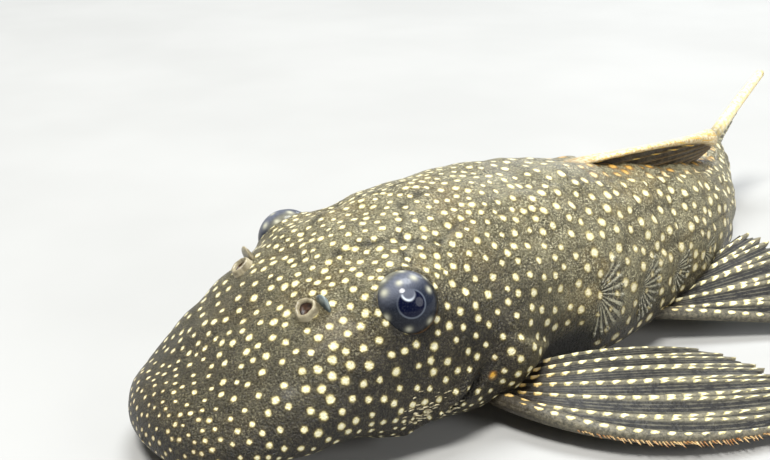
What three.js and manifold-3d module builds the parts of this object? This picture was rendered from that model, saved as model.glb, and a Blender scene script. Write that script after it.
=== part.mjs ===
// A bristlenose pleco at life size, lying on its belly with its tail curved to its right.
// Millimetres. +X runs from the snout to the tail, +Y to the fish's right and +Z up.
// The origin is on the flat of the belly, below the middle of the trunk, at the level of the floor.
import * as THREE from "three";
import { mergeVertices } from "three/addons/utils/BufferGeometryUtils.js";
import Module from "manifold-3d";

const wasm = await Module();
wasm.setup();

// Driving dimensions. A station is a distance along the body from the tip of the snout.
const STANDARD_LENGTH = 85;
const ORIGIN_STATION = 36;
const HEAD_END = 28;
const TRUNK_END = 51;
const REAR_TRUNK_END = 69;
const GAP = 0.3;
const FIN_GAP = 0.36;

// The tail bends to the right between these two stations.
const BEND_START = 53.3;
const BEND_END = 78;
const BEND_ANGLE = THREE.MathUtils.degToRad(37.6);

// Profiles of the body against the station.
const TOP = [[0, 3.3], [0.6, 5.1], [2, 6.6], [5.5, 8.5], [10, 11.8], [15, 14.9], [21, 17.9], [27, 19.4],
  [33, 20], [42, 19.4], [50, 17.8], [60, 15.7], [78, 12.7], [85, 12.8]];
const BOTTOM = [[0, 2.9], [0.6, 2.1], [2, 1.8], [14, 1.6], [19, -0.3], [46, -0.4], [60, 1], [78, 3.2],
  [85, 3.4]];
const HALF_WIDTH = [[0, 0], [0.6, 3.8], [1.5, 5.9], [3, 8], [6, 10.2], [12, 11.8], [24, 12.4], [34, 11.9],
  [42, 11.2], [50, 9.4], [60, 6.9], [70, 4.8], [78, 3.4], [85, 2.6]];
const WIDEST_HEIGHT = [[0, 3.1], [2, 3.4], [5.5, 4.1], [12, 5.1], [21, 5.8], [42, 6], [60, 6.8], [85, 8.2]];
const ROUNDNESS_ABOVE = 0.95;
const ROUNDNESS_BELOW = 0.85;

// Eyes, nostrils and mouth.
const EYE = { station: 20.3, side: 9.45, height: 13.35, radius: 2.9 };
const ORBIT_RISE = 1.5;
const ORBIT_SPREAD = 4;
const NOSTRIL = { station: 13.3, side: 5.4, outer: 1.1, inner: 0.58, rise: 0.75 };
const FLAP = { halfThickness: 0.35, halfWidth: 1, height: 1.05 };
// The head ends further back on its top and further forward below.
const HEAD_END_ON_TOP = 2.2;
const HEAD_END_BELOW = 1.4;
const LIPS = {
  station: 8.2, halfLength: 5.2, halfWidth: 6.4, thickness: 1.25, mouthHalfLength: 1, mouthHalfWidth: 3,
};

// Armour: overlapping plates in five rows on each side, from the back of the head to the tail fin.
const PLATE_PITCH = 3;
const PLATE_RISE = 0.3;
const PLATE_STEP = 0.14;
const PLATE_BULGE = 0.55;
const ROW_GROOVE = 0.14;
const ROW_EDGES_DEG = [-35, -6, 21, 45, 68, 90];
const COLUMNS_PER_ROW = 3;
const BELLY_COLUMNS = 6;

const rad = THREE.MathUtils.degToRad;
const lerp = THREE.MathUtils.lerp;
const clamp = THREE.MathUtils.clamp;
const smooth = (x, low, high) => THREE.MathUtils.smoothstep(x, low, high);

// A smooth curve through a profile's points that never overshoots them (Fritsch and Carlson).
function curveThrough(points) {
  const n = points.length;
  const slopes = points.slice(1).map(([x, y], i) => (y - points[i][1]) / (x - points[i][0]));
  const tangents = points.map((_, i) => {
    if (i === 0) return slopes[0];
    if (i === n - 1) return slopes[n - 2];
    if (slopes[i - 1] * slopes[i] <= 0) return 0;
    return (2 * slopes[i - 1] * slopes[i]) / (slopes[i - 1] + slopes[i]);
  });
  return (x) => {
    let i = 0;
    while (i < n - 2 && x > points[i + 1][0]) i += 1;
    const [x0, y0] = points[i];
    const [x1, y1] = points[i + 1];
    const h = x1 - x0;
    const t = clamp((x - x0) / h, 0, 1);
    const t2 = t * t;
    const t3 = t2 * t;
    return (2 * t3 - 3 * t2 + 1) * y0 + (t3 - 2 * t2 + t) * h * tangents[i]
      + (3 * t2 - 2 * t3) * y1 + (t3 - t2) * h * tangents[i + 1];
  };
}

const topAt = curveThrough(TOP);
const bottomAt = curveThrough(BOTTOM);
const halfWidthAt = curveThrough(HALF_WIDTH);
const widestAt = curveThrough(WIDEST_HEIGHT);

// The body's midline on the floor, as points every half millimetre, with its heading.
const headingAt = (s) => BEND_ANGLE * smooth(s, BEND_START, BEND_END);
const MIDLINE_STEP = 0.5;
const midline = [new THREE.Vector2(-ORIGIN_STATION, 0)];
for (let s = 0; s < STANDARD_LENGTH + 45; s += MIDLINE_STEP) {
  const h = headingAt(s + MIDLINE_STEP / 2);
  const last = midline[midline.length - 1];
  midline.push(new THREE.Vector2(last.x + MIDLINE_STEP * Math.cos(h), last.y + MIDLINE_STEP * Math.sin(h)));
}

// The point at a station, a distance to the right of the midline and a height above the floor.
function place(station, side, height) {
  const index = clamp(Math.floor(station / MIDLINE_STEP), 0, midline.length - 2);
  const t = station / MIDLINE_STEP - index;
  const h = headingAt(station);
  const x = lerp(midline[index].x, midline[index + 1].x, t);
  const y = lerp(midline[index].y, midline[index + 1].y, t);
  return new THREE.Vector3(x - side * Math.sin(h), y + side * Math.cos(h), height);
}

// How far the skin round each eye is raised.
function orbitRise(station, side, height) {
  const d = Math.hypot(station - EYE.station, Math.abs(side) - EYE.side, height - EYE.height);
  return ORBIT_RISE * Math.exp(-((d / ORBIT_SPREAD) ** 2));
}

// The shoulder swells behind the gills and carries the pectoral fin, and the flank behind it is
// drawn in. Each is a height over the plain body, with its place and spread.
const SWELLS = [
  { station: 30.4, angleDeg: -4, rise: 0.9, along: 2.4, roundDeg: 24 },
  { station: 14, angleDeg: 48, rise: 0.5, along: 5, roundDeg: 27 },
  { station: 4.5, angleDeg: 60, rise: -0.6, along: 2, roundDeg: 26 },
  { station: 37, angleDeg: -16, rise: -1.7, along: 4.2, roundDeg: 26 },
];

function swellRise(station, angle) {
  const fromRight = angle > Math.PI * 1.5 ? angle - 2 * Math.PI : angle;
  return SWELLS.reduce((sum, { station: middle, angleDeg, rise, along, roundDeg }) => {
    const round = Math.min(Math.abs(fromRight - rad(angleDeg)), Math.abs(Math.PI - angle - rad(angleDeg)));
    return sum + rise * Math.exp(-(((station - middle) / along) ** 2) - ((round / rad(roundDeg)) ** 2));
  }, 0);
}

// A point of the skin. The angle is 0 on the right, 90 degrees on the back and 180 on the left.
function skin(station, angle, offset = 0) {
  const c = Math.cos(angle);
  const d = Math.sin(angle);
  const widest = widestAt(station);
  const power = d >= 0 ? ROUNDNESS_ABOVE : ROUNDNESS_BELOW;
  const reach = d >= 0 ? topAt(station) - widest : widest - bottomAt(station);
  let side = halfWidthAt(station) * Math.sign(c) * Math.abs(c) ** power;
  let rise = reach * Math.sign(d) * Math.abs(d) ** (d >= 0 ? 1 : ROUNDNESS_BELOW);
  const radius = Math.hypot(side, rise);
  const raised = offset + orbitRise(station, side, widest + rise) + swellRise(station, angle);
  const swell = 1 + raised / Math.max(radius, 1);
  side *= swell;
  rise *= swell;
  return place(station, side, Math.max(widest + rise, offset > GAP / 2 ? -1 : 0));
}

// Columns of the skin's grid: three to each row of plates, and a few across the naked belly.
const upperColumns = [];
ROW_EDGES_DEG.slice(1).forEach((edge, row) => {
  for (let i = 0; i < COLUMNS_PER_ROW; i += 1) {
    const share = i / COLUMNS_PER_ROW;
    upperColumns.push({ angle: rad(lerp(ROW_EDGES_DEG[row], edge, share)), row: share });
  }
});
const backColumn = { angle: rad(90), row: 0 };
const leftColumns = upperColumns.map(({ angle, row }) => ({ angle: Math.PI - angle, row })).reverse();
const bellyWidth = 180 + 2 * ROW_EDGES_DEG[0];
const bellyColumns = Array.from({ length: BELLY_COLUMNS - 1 }, (_, i) => ({
  angle: rad(180 - ROW_EDGES_DEG[0] + (bellyWidth * (i + 1)) / BELLY_COLUMNS),
  row: 0,
  naked: true,
}));
const COLUMNS = [...upperColumns, backColumn, ...leftColumns, ...bellyColumns];

// A closed solid from rings of points, each ring with the same count, its ends closed by fans.
function loft(rings) {
  const count = rings[0].length;
  const positions = rings.flat().flatMap((p) => [p.x, p.y, p.z]);
  const triangles = [];
  for (let i = 0; i + 1 < rings.length; i += 1) {
    for (let j = 0; j < count; j += 1) {
      const a = i * count + j;
      const b = i * count + ((j + 1) % count);
      triangles.push([a, b, a + count], [b, b + count, a + count]);
    }
  }
  [rings[0], rings[rings.length - 1]].forEach((ring, end) => {
    const centre = ring.reduce((sum, p) => sum.add(p), new THREE.Vector3()).divideScalar(count);
    const hub = positions.length / 3;
    positions.push(centre.x, centre.y, centre.z);
    const first = end === 0 ? 0 : (rings.length - 1) * count;
    for (let j = 0; j < count; j += 1) {
      const a = first + j;
      const b = first + ((j + 1) % count);
      triangles.push(end === 0 ? [b, a, hub] : [a, b, hub]);
    }
  });
  return geometryOf(positions, triangles);
}

function geometryOf(positions, triangles) {
  return new THREE.BufferGeometry()
    .setAttribute("position", new THREE.Float32BufferAttribute(positions, 3))
    .setIndex(triangles.flat());
}

// A closed three.js geometry as a solid for joining and cutting.
function solidOf(geometry) {
  const bare = (geometry.index ? geometry.toNonIndexed() : geometry).clone();
  const extra = Object.keys(bare.attributes).filter((name) => name !== "position");
  extra.forEach((name) => bare.deleteAttribute(name));
  const merged = mergeVertices(bare, 1e-4);
  return new wasm.Manifold(new wasm.Mesh({
    numProp: 3,
    vertProperties: merged.attributes.position.array,
    triVerts: new Uint32Array(merged.index.array),
  }));
}

// The largest closed surface of a solid, as a geometry.
function geometryFrom(solid) {
  const largest = solid.decompose().reduce((a, b) => (b.volume() > a.volume() ? b : a));
  const mesh = largest.getMesh();
  const positions = [];
  for (let i = 0; i < mesh.numVert; i += 1) {
    positions.push(...mesh.vertProperties.subarray(i * mesh.numProp, i * mesh.numProp + 3));
  }
  return new THREE.BufferGeometry()
    .setAttribute("position", new THREE.Float32BufferAttribute(positions, 3))
    .setIndex(Array.from(mesh.triVerts));
}

function sphereAt(centre, radius, width = 18, height = 10) {
  return new THREE.SphereGeometry(radius, width, height).translate(centre.x, centre.y, centre.z);
}

// The back edge of the head, further back over the nape than at the gills.
const headEndAt = (angle) => {
  const up = Math.sin(angle);
  return HEAD_END + HEAD_END_ON_TOP * Math.max(0, up) ** 2 - HEAD_END_BELOW * Math.max(0, -up);
};

// Rings of armour between two ends. Each plate starts flush and rises to its back edge, which
// bulges backwards in the middle of its row.
function armourRings(startAt, endAt, lift = 0) {
  const rings = [];
  const firstPlate = Math.ceil((startAt(Math.PI / 2) - HEAD_END) / PLATE_PITCH + 0.3);
  const lastPlate = Math.floor((endAt(Math.PI / 2) - HEAD_END) / PLATE_PITCH - 0.3);
  const ring = (stationAt, rise) => COLUMNS.map(({ angle, row, naked }) => {
    const keel = Math.sin(Math.PI * row);
    const relief = naked ? 0 : rise * (0.55 + 0.45 * keel) - ROW_GROOVE * (1 - keel);
    return skin(stationAt(angle, keel), angle, relief + lift);
  });
  rings.push(ring((angle) => startAt(angle), 0));
  for (let plate = firstPlate; plate <= lastPlate; plate += 1) {
    const edge = HEAD_END + plate * PLATE_PITCH;
    rings.push(ring((_, keel) => edge - PLATE_STEP + PLATE_BULGE * keel, PLATE_RISE));
    rings.push(ring((_, keel) => edge + PLATE_BULGE * keel, 0));
  }
  rings.push(ring((angle) => endAt(angle), 0));
  return rings;
}

// The head, from the tip of the snout to the gills.
const HEAD_ROWS = 25;
const HEAD_CROWDING = 1.55;

function headRings(lift = 0) {
  return Array.from({ length: HEAD_ROWS }, (_, i) => {
    const t = ((i + 1) / HEAD_ROWS) ** HEAD_CROWDING;
    return COLUMNS.map(({ angle }) => skin(headEndAt(angle) * t, angle, lift));
  });
}

// A right-handed set of axes with z along the skin's outward normal at a point of the skin.
function skinAxes(station, angle) {
  const h = 0.05;
  const at = skin(station, angle);
  const along = skin(station + h, angle).sub(skin(station - h, angle)).normalize();
  const round = skin(station, angle + h / 10).sub(skin(station, angle - h / 10)).normalize();
  const normal = round.clone().cross(along).normalize();
  return { at, along, normal, round };
}

// The angle of the skin that lies at a distance from the midline, on the upper side.
function angleAtSide(station, side) {
  const c = clamp(Math.abs(side) / halfWidthAt(station), 0, 1) ** (1 / ROUNDNESS_ABOVE);
  return side >= 0 ? Math.acos(c) : Math.PI - Math.acos(c);
}

function standOn(geometry, axes, sink = 0) {
  const x = axes.along;
  const z = axes.normal;
  const y = z.clone().cross(x).normalize();
  const matrix = new THREE.Matrix4().makeBasis(y.clone().cross(z), y, z);
  matrix.setPosition(axes.at.clone().addScaledVector(z, -sink));
  return geometry.applyMatrix4(matrix);
}

// A nostril's raised rim, open at the top, with the flap behind it.
function nostrilPieces(side) {
  const axes = skinAxes(NOSTRIL.station, angleAtSide(NOSTRIL.station, side * NOSTRIL.side));
  const sink = 1;
  const floorOfPit = 0.2;
  const height = NOSTRIL.rise + sink;
  const profile = [[0, 0], [NOSTRIL.outer * 1.25, 0], [NOSTRIL.outer, sink + 0.3],
    [NOSTRIL.outer * 0.85, height], [NOSTRIL.inner, height], [NOSTRIL.inner * 0.8, sink - floorOfPit],
    [0, sink - floorOfPit]];
  const turned = profile.map(([r, z]) => new THREE.Vector2(r, z));
  const rim = new THREE.LatheGeometry(turned, 10).rotateX(Math.PI / 2);
  const flap = new THREE.SphereGeometry(1, 8, 6)
    .scale(FLAP.halfThickness, FLAP.halfWidth, FLAP.height)
    .translate(NOSTRIL.outer + FLAP.halfThickness, 0, sink);
  return [standOn(rim, axes, sink), standOn(flap, axes, sink)];
}

// Cheek spines: short hooks in a tuft at the lower back corner of each cheek, lying backwards.
const CHEEK_SPINES = {
  count: 12, station: 20.5, length: 1.5, radius: 0.26, rows: 3, spacing: 0.9, angleDeg: -16,
};

function spine(length, radius, bend) {
  const sides = 5;
  const steps = 3;
  const rings = Array.from({ length: steps }, (_, i) => {
    const t = i / steps;
    const r = radius * (1 - t * 0.75);
    return Array.from({ length: sides }, (_unused, j) => {
      const a = (2 * Math.PI * j) / sides;
      return new THREE.Vector3(r * Math.cos(a) + bend * t * t, r * Math.sin(a), length * t);
    });
  });
  const tip = new THREE.Vector3(bend, 0, length);
  rings.push(rings[0].map((_, j) => tip.clone().add(new THREE.Vector3(
    0.03 * Math.cos((2 * Math.PI * j) / sides), 0.03 * Math.sin((2 * Math.PI * j) / sides), 0))));
  return loft(rings);
}

// Points a spine, which stands along its own z and hooks along its x, along a direction.
function aim(geometry, at, direction, hookTowards) {
  const z = direction.clone().normalize();
  const y = z.clone().cross(hookTowards).normalize();
  const matrix = new THREE.Matrix4().makeBasis(y.clone().cross(z), y, z).setPosition(at);
  return geometry.applyMatrix4(matrix);
}

function cheekSpines(side) {
  const { count, station, length, radius, rows, spacing, angleDeg } = CHEEK_SPINES;
  return Array.from({ length: count }, (_, i) => {
    const row = i % rows;
    const column = Math.floor(i / rows);
    const angle = rad(side > 0 ? angleDeg + 7 * row : 180 - angleDeg - 7 * row);
    const axes = skinAxes(station + spacing * column + 0.3 * row, angle);
    const root = axes.at.clone().addScaledVector(axes.normal, -0.45);
    const direction = axes.along.clone().multiplyScalar(0.8).addScaledVector(axes.normal, 0.75);
    const size = length * (0.75 + 0.12 * column);
    return aim(spine(size, radius, size * 0.2), root, direction, axes.along);
  });
}

function buildHead() {
  let head = solidOf(loft(headRings()));
  [-1, 1].forEach((side) => {
    nostrilPieces(side).forEach((piece) => { head = head.add(solidOf(piece)); });
    cheekSpines(side).forEach((piece) => { head = head.add(solidOf(piece)); });
    const centre = place(EYE.station, side * EYE.side, EYE.height);
    head = head.subtract(solidOf(sphereAt(centre, EYE.radius + GAP * 1.15)));
  });
  return geometryFrom(head);
}

// The eye: a domed ball, its pole turned outwards.
function buildEye(side) {
  const centre = place(EYE.station, side * EYE.side, EYE.height);
  return sphereAt(centre, EYE.radius);
}

// The mouth's sucking disc: one oval ring of lips on the floor, open at the mouth.
function buildLips() {
  const { station, halfLength, halfWidth, thickness, mouthHalfLength, mouthHalfWidth } = LIPS;
  const centre = place(station, 0, 0);
  const segments = 28;
  const oval = (a, alongSize, acrossSize, height) => new THREE.Vector3(
    centre.x + alongSize * Math.cos(a), centre.y + acrossSize * Math.sin(a), height);
  const sectionAt = (a) => [
    oval(a, halfLength - 0.5, halfWidth - 0.5, 0),
    oval(a, halfLength, halfWidth, 0.45),
    oval(a, halfLength - 0.6, halfWidth - 0.6, thickness),
    oval(a, mouthHalfLength + 0.5, mouthHalfWidth + 0.3, thickness),
    oval(a, mouthHalfLength, mouthHalfWidth, 0.6),
    oval(a, mouthHalfLength + 0.5, mouthHalfWidth + 0.4, 0),
  ];
  const rings = Array.from({ length: segments }, (_, i) => sectionAt((2 * Math.PI * i) / segments));
  const count = rings[0].length;
  const triangles = [];
  for (let i = 0; i < segments; i += 1) {
    for (let j = 0; j < count; j += 1) {
      const a = i * count + j;
      const b = i * count + ((j + 1) % count);
      const c = ((i + 1) % segments) * count + j;
      const d = ((i + 1) % segments) * count + ((j + 1) % count);
      triangles.push([a, c, b], [b, c, d]);
    }
  }
  return geometryOf(rings.flat().flatMap((p) => [p.x, p.y, p.z]), triangles);
}

// A fin from a middle surface and its rays, as ridges of one closed skin. surface(u, v) gives the
// point a share u along the ray at v, from the leading edge at 0 to the last ray at 1.
function finGeometry({ surface, rays, rows, rayThickness, edgeThickness, membrane = 0.5, scallop = 0.05 }) {
  const columns = [
    { across: 0, limit: 0, ray: 0.45, edge: 1 },
    { across: 0.36, limit: 0.38, ray: 1, edge: 1 },
    { across: 1, limit: 0.48, ray: 0.5, edge: 1 },
  ];
  for (let k = 1; k < rays; k += 1) {
    columns.push({ v: (k - 0.45) / (rays - 1), ray: 0, edge: 0 }, { v: k / (rays - 1), ray: 1, edge: 0 });
  }
  const normalAt = (u, v) => {
    const h = 0.01;
    const u0 = clamp(u, h, 1 - h);
    const v0 = clamp(v, h, 1 - h);
    const du = surface(u0 + h, v0).sub(surface(u0 - h, v0));
    const dv = surface(u0, v0 + h).sub(surface(u0, v0 - h));
    return du.cross(dv).normalize();
  };
  const upper = [];
  const lower = [];
  for (let i = 0; i <= rows; i += 1) {
    const t = i / rows;
    const spacing = surface(t, 0).distanceTo(surface(t, 1 / (rays - 1)));
    columns.forEach((column) => {
      const { ray, edge } = column;
      const [thickRoot, thickTip] = edge ? edgeThickness : rayThickness;
      const thick = lerp(thickRoot, thickTip, t);
      const u = t * (1 - scallop * (1 - ray) * t * (edge ? 0 : 1));
      const inward = Math.min((column.across * thick) / spacing, column.limit) / (rays - 1);
      const v = edge ? inward : column.v;
      const half = (membrane + ray * (thick - membrane)) / 2;
      const n = normalAt(u, v);
      const p = surface(u, v);
      upper.push(p.clone().addScaledVector(n, half));
      lower.push(p.clone().addScaledVector(n, -half));
    });
  }
  const count = columns.length;
  const total = upper.length;
  const triangles = [];
  for (let i = 0; i < rows; i += 1) {
    for (let j = 0; j + 1 < count; j += 1) {
      const a = i * count + j;
      const b = a + 1;
      const c = a + count;
      const d = c + 1;
      triangles.push([a, c, b], [b, c, d]);
      triangles.push([a + total, b + total, c + total], [b + total, d + total, c + total]);
    }
  }
  const border = [];
  for (let j = 0; j + 1 < count; j += 1) border.push([j, j + 1]);
  for (let i = 0; i < rows; i += 1) border.push([(i + 1) * count - 1, (i + 2) * count - 1]);
  for (let j = count - 1; j > 0; j -= 1) border.push([rows * count + j, rows * count + j - 1]);
  for (let i = rows; i > 0; i -= 1) border.push([i * count, (i - 1) * count]);
  border.forEach(([a, b]) => triangles.push([a, b, a + total], [b, b + total, a + total]));
  return geometryOf([...upper, ...lower].flatMap((p) => [p.x, p.y, p.z]), triangles);
}

// A solid that faces out, whichever way its grid ran.
function outward(geometry) {
  const solid = solidOf(geometry);
  if (solid.volume() > 0) return solid;
  const index = Array.from(geometry.index.array);
  for (let i = 0; i < index.length; i += 3) [index[i + 1], index[i + 2]] = [index[i + 2], index[i + 1]];
  return solidOf(geometry.clone().setIndex(index));
}

// The whole body a little larger, which cuts each fin's root clear of the skin.
const wholeBody = solidOf(loft(headRings(FIN_GAP)))
  .add(solidOf(loft(armourRings(headEndAt, () => STANDARD_LENGTH + 0.01, FIN_GAP + PLATE_RISE * 0.2))));

const direction = (headingDeg, elevationDeg) => new THREE.Vector3(
  Math.cos(rad(elevationDeg)) * Math.cos(rad(headingDeg)),
  Math.cos(rad(elevationDeg)) * Math.sin(rad(headingDeg)),
  Math.sin(rad(elevationDeg)));

// Mixes two directions into a third of unit length.
const mix = (a, b, t) => a.clone().multiplyScalar(1 - t).addScaledVector(b, t).normalize();

// Pectoral fins, spread on the floor and swept back. The spine leads, curved like a sabre, and
// carries small hooks. Each ray runs from a root past a control point to a tip, given here for the
// spine, the middle ray and the last ray as station, distance from the midline and height.
const PECTORAL = {
  rays: 7,
  rows: 10,
  roots: [[28.2, 10.6, 2.5], [30, 10.6, 3.2], [31.8, 10.2, 4.1]],
  controls: [[32.1, 25.9, 1.5], [38, 19, 4.6], [40, 12.8, 5.6]],
  tips: [[48.4, 28.4, 1.3], [54, 22.6, 1.7], [49.6, 14.8, 2.7]],
};
const FIN_HOOKS = { count: 13, from: 0.45, length: 1.1, radius: 0.24 };

// A quadratic curve through three rows of numbers, at 0, a half and 1.
const through = (rows, v) => rows[0].map((first, i) => (
  first * (1 - v) * (1 - 2 * v) + rows[1][i] * 4 * v * (1 - v) + rows[2][i] * v * (2 * v - 1)));

function pectoralSurface(side) {
  const corner = (rows, v) => {
    const [station, distance, height] = through(rows, v);
    return new THREE.Vector3(station - ORIGIN_STATION, side * distance, height);
  };
  return (u, v) => corner(PECTORAL.roots, v).multiplyScalar((1 - u) ** 2)
    .addScaledVector(corner(PECTORAL.controls, v), 2 * u * (1 - u))
    .addScaledVector(corner(PECTORAL.tips, v), u * u);
}

function finHooks(surface, side) {
  const { count, from, length, radius } = FIN_HOOKS;
  return Array.from({ length: count }, (_, i) => {
    const u = lerp(from, 0.97, i / (count - 1));
    const at = surface(u, 0.005);
    const along = surface(u, 0).sub(surface(u - 0.02, 0)).normalize();
    const inward = surface(u, 0.08).sub(surface(u, 0)).normalize();
    const out = inward.clone().multiplyScalar(-1).addScaledVector(along, 0.9);
    const size = length * (0.7 + 0.3 * Math.sin(Math.PI * (0.2 + 0.7 * (i / count))));
    return aim(spine(size, radius, size * 0.15), at.addScaledVector(inward, 0.22), out, along);
  });
}

function buildPectoralFin(side) {
  const surface = pectoralSurface(side);
  const p = PECTORAL;
  let fin = outward(finGeometry({
    surface, rays: p.rays, rows: p.rows, rayThickness: [1, 0.75], edgeThickness: [2.2, 1.1], scallop: 0.06,
  }));
  finHooks(surface, side).forEach((hook) => { fin = fin.add(outward(hook)); });
  return geometryFrom(fin.subtract(wholeBody));
}

// Pelvic fins, spread from the lower flank.
const PELVIC = {
  station: 50, side: 6.4, height: 3.2, rootWidth: 3.6, rays: 6, rows: 8, spineLength: 22, lastLength: 16,
  spineHeading: 30, lastHeading: -4, spineDrop: -5.5, lastDrop: 9, lift: 1.4,
};

function buildPelvicFin(side) {
  const p = PELVIC;
  const lead = direction(side * p.spineHeading, p.spineDrop);
  const last = direction(side * p.lastHeading, p.lastDrop);
  const surface = (u, v) => {
    const root = place(p.station + p.rootWidth * v, side * (p.side - 0.8 * v), p.height + 0.6 * v);
    const length = lerp(p.spineLength, p.lastLength, v ** 1.2);
    const point = root.addScaledVector(mix(lead, last, v), length * u);
    point.z += p.lift * Math.sin(Math.PI * v * 0.8) * u ** 1.4;
    return point;
  };
  const fin = outward(finGeometry({
    surface, rays: p.rays, rows: p.rows, rayThickness: [1, 0.7], edgeThickness: [1.7, 0.9], scallop: 0.06,
  }));
  return geometryFrom(fin.subtract(wholeBody));
}

// The dorsal fin, folded back along the body and leaning a little to the left.
const DORSAL = {
  station: 43.4, baseLength: 20.6, tipStation: 70.5, tipHeight: 16.8, lastTipStation: 70, rays: 8, rows: 8,
  lean: 1.5,
};

function buildDorsalFin() {
  const d = DORSAL;
  const surface = (u, v) => {
    const rootStation = d.station + d.baseLength * v;
    const rootHeight = topAt(rootStation) - 1;
    const tipStation = lerp(d.tipStation, d.lastTipStation, v);
    const tipHeight = lerp(d.tipHeight, topAt(d.lastTipStation) + 0.9, v);
    const station = lerp(rootStation, tipStation, u);
    const height = lerp(rootHeight, tipHeight, u) + 0.7 * Math.sin(Math.PI * u) * (1 - v);
    const lean = -d.lean * Math.sin(Math.PI * (0.15 + 0.7 * v)) * u;
    return place(station, lean, height);
  };
  const fin = outward(finGeometry({
    surface, rays: d.rays, rows: d.rows, rayThickness: [1, 0.8], edgeThickness: [2.1, 1.6], scallop: 0.04,
  }));
  return geometryFrom(fin.subtract(wholeBody));
}

// The adipose fin: one short spine with a web behind it, on top of the tail.
const ADIPOSE = { station: 72.8, length: 6, elevationDeg: 15, webStations: 6.6 };

function buildAdiposeFin() {
  const a = ADIPOSE;
  const surface = (u, v) => {
    const rootStation = a.station + a.webStations * v;
    const tipStation = a.station + a.length * Math.cos(rad(a.elevationDeg)) + 0.9 * v;
    const tipHeight = topAt(a.station) + a.length * Math.sin(rad(a.elevationDeg));
    const rootHeight = topAt(rootStation) - 0.8;
    const endHeight = lerp(tipHeight, rootHeight + 1.5, v);
    return place(lerp(rootStation, tipStation, u), 0, lerp(rootHeight, endHeight, u));
  };
  const fin = outward(finGeometry({
    surface, rays: 3, rows: 4, rayThickness: [0.6, 0.5], edgeThickness: [1.4, 0.7], scallop: 0.1,
  }));
  return geometryFrom(fin.subtract(wholeBody));
}

// The anal fin, below the tail, clear of the floor.
const ANAL = {
  station: 60.5, baseLength: 4, rays: 5, rows: 5, length: 9, lastLength: 6, firstDeg: 4, lastDeg: -5,
};

function buildAnalFin() {
  const a = ANAL;
  const surface = (u, v) => {
    const rootStation = a.station + a.baseLength * v;
    const rootHeight = bottomAt(rootStation) + 0.1;
    const length = lerp(a.length, a.lastLength, v);
    const slope = rad(lerp(a.firstDeg, a.lastDeg, v));
    return place(rootStation + length * Math.cos(slope) * u, 0, rootHeight - length * Math.sin(slope) * u);
  };
  const fin = outward(finGeometry({
    surface, rays: a.rays, rows: a.rows, rayThickness: [0.9, 0.7], edgeThickness: [1.1, 0.8], scallop: 0.08,
  }));
  return geometryFrom(fin.subtract(wholeBody));
}

// The tail fin: the upper edge swings back in line with the body, the lower edge rests on the floor.
const CAUDAL = {
  rays: 11, rows: 9, upperLength: 20, middleLength: 15.5, lowerLength: 24, upperHeading: 21, lowerHeading: 44,
  upperElevation: 14, lowerElevation: -10,
};

function buildCaudalFin() {
  const c = CAUDAL;
  const upper = direction(c.upperHeading, c.upperElevation);
  const lower = direction(c.lowerHeading, c.lowerElevation);
  const surface = (u, v) => {
    const rootHeight = lerp(topAt(STANDARD_LENGTH) - 0.9, bottomAt(STANDARD_LENGTH) + 0.9, v);
    const root = place(STANDARD_LENGTH + GAP, 0, rootHeight);
    const edgeLength = lerp(c.upperLength, c.lowerLength, v);
    const length = edgeLength - (edgeLength - c.middleLength) * Math.sin(Math.PI * v) ** 1.2;
    const point = root.addScaledVector(mix(upper, lower, v), length * u);
    point.z = Math.max(point.z, 0.6);
    return point;
  };
  return geometryFrom(outward(finGeometry({
    surface, rays: c.rays, rows: c.rows, rayThickness: [1, 0.8], edgeThickness: [1.9, 1.2], scallop: 0.07,
  })));
}

// Colours of the parts, from the photograph.
const finishes = {
  skin: { color: 0x5a5647, roughness: 0.5 },
  fin: { color: 0x6e6650, roughness: 0.45 },
  eye: { color: 0x1c2430, roughness: 0.08 },
  lips: { color: 0x9a8f7c, roughness: 0.6 },
};

const fish = new THREE.Group();

function addPart(name, geometry, finish) {
  const material = new THREE.MeshStandardMaterial({ ...finishes[finish], metalness: 0 });
  const mesh = new THREE.Mesh(geometry, material);
  mesh.name = name;
  fish.add(mesh);
}

const cut = (station, offset) => () => station + offset;
const napeEdge = (angle) => headEndAt(angle) + GAP;

addPart("head", buildHead(), "skin");
addPart("lips", buildLips(), "lips");
addPart("eye_left", buildEye(-1), "eye");
addPart("eye_right", buildEye(1), "eye");
addPart("trunk", loft(armourRings(napeEdge, cut(TRUNK_END, -GAP / 2))), "skin");
addPart("rear_trunk", loft(armourRings(cut(TRUNK_END, GAP / 2), cut(REAR_TRUNK_END, -GAP / 2))), "skin");
addPart("tail", loft(armourRings(cut(REAR_TRUNK_END, GAP / 2), cut(STANDARD_LENGTH, 0))), "skin");
addPart("pectoral_fin_left", buildPectoralFin(-1), "fin");
addPart("pectoral_fin_right", buildPectoralFin(1), "fin");
addPart("pelvic_fin_left", buildPelvicFin(-1), "fin");
addPart("pelvic_fin_right", buildPelvicFin(1), "fin");
addPart("dorsal_fin", buildDorsalFin(), "fin");
addPart("adipose_fin", buildAdiposeFin(), "fin");
addPart("anal_fin", buildAnalFin(), "fin");
addPart("caudal_fin", buildCaudalFin(), "fin");

export default fish;
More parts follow.
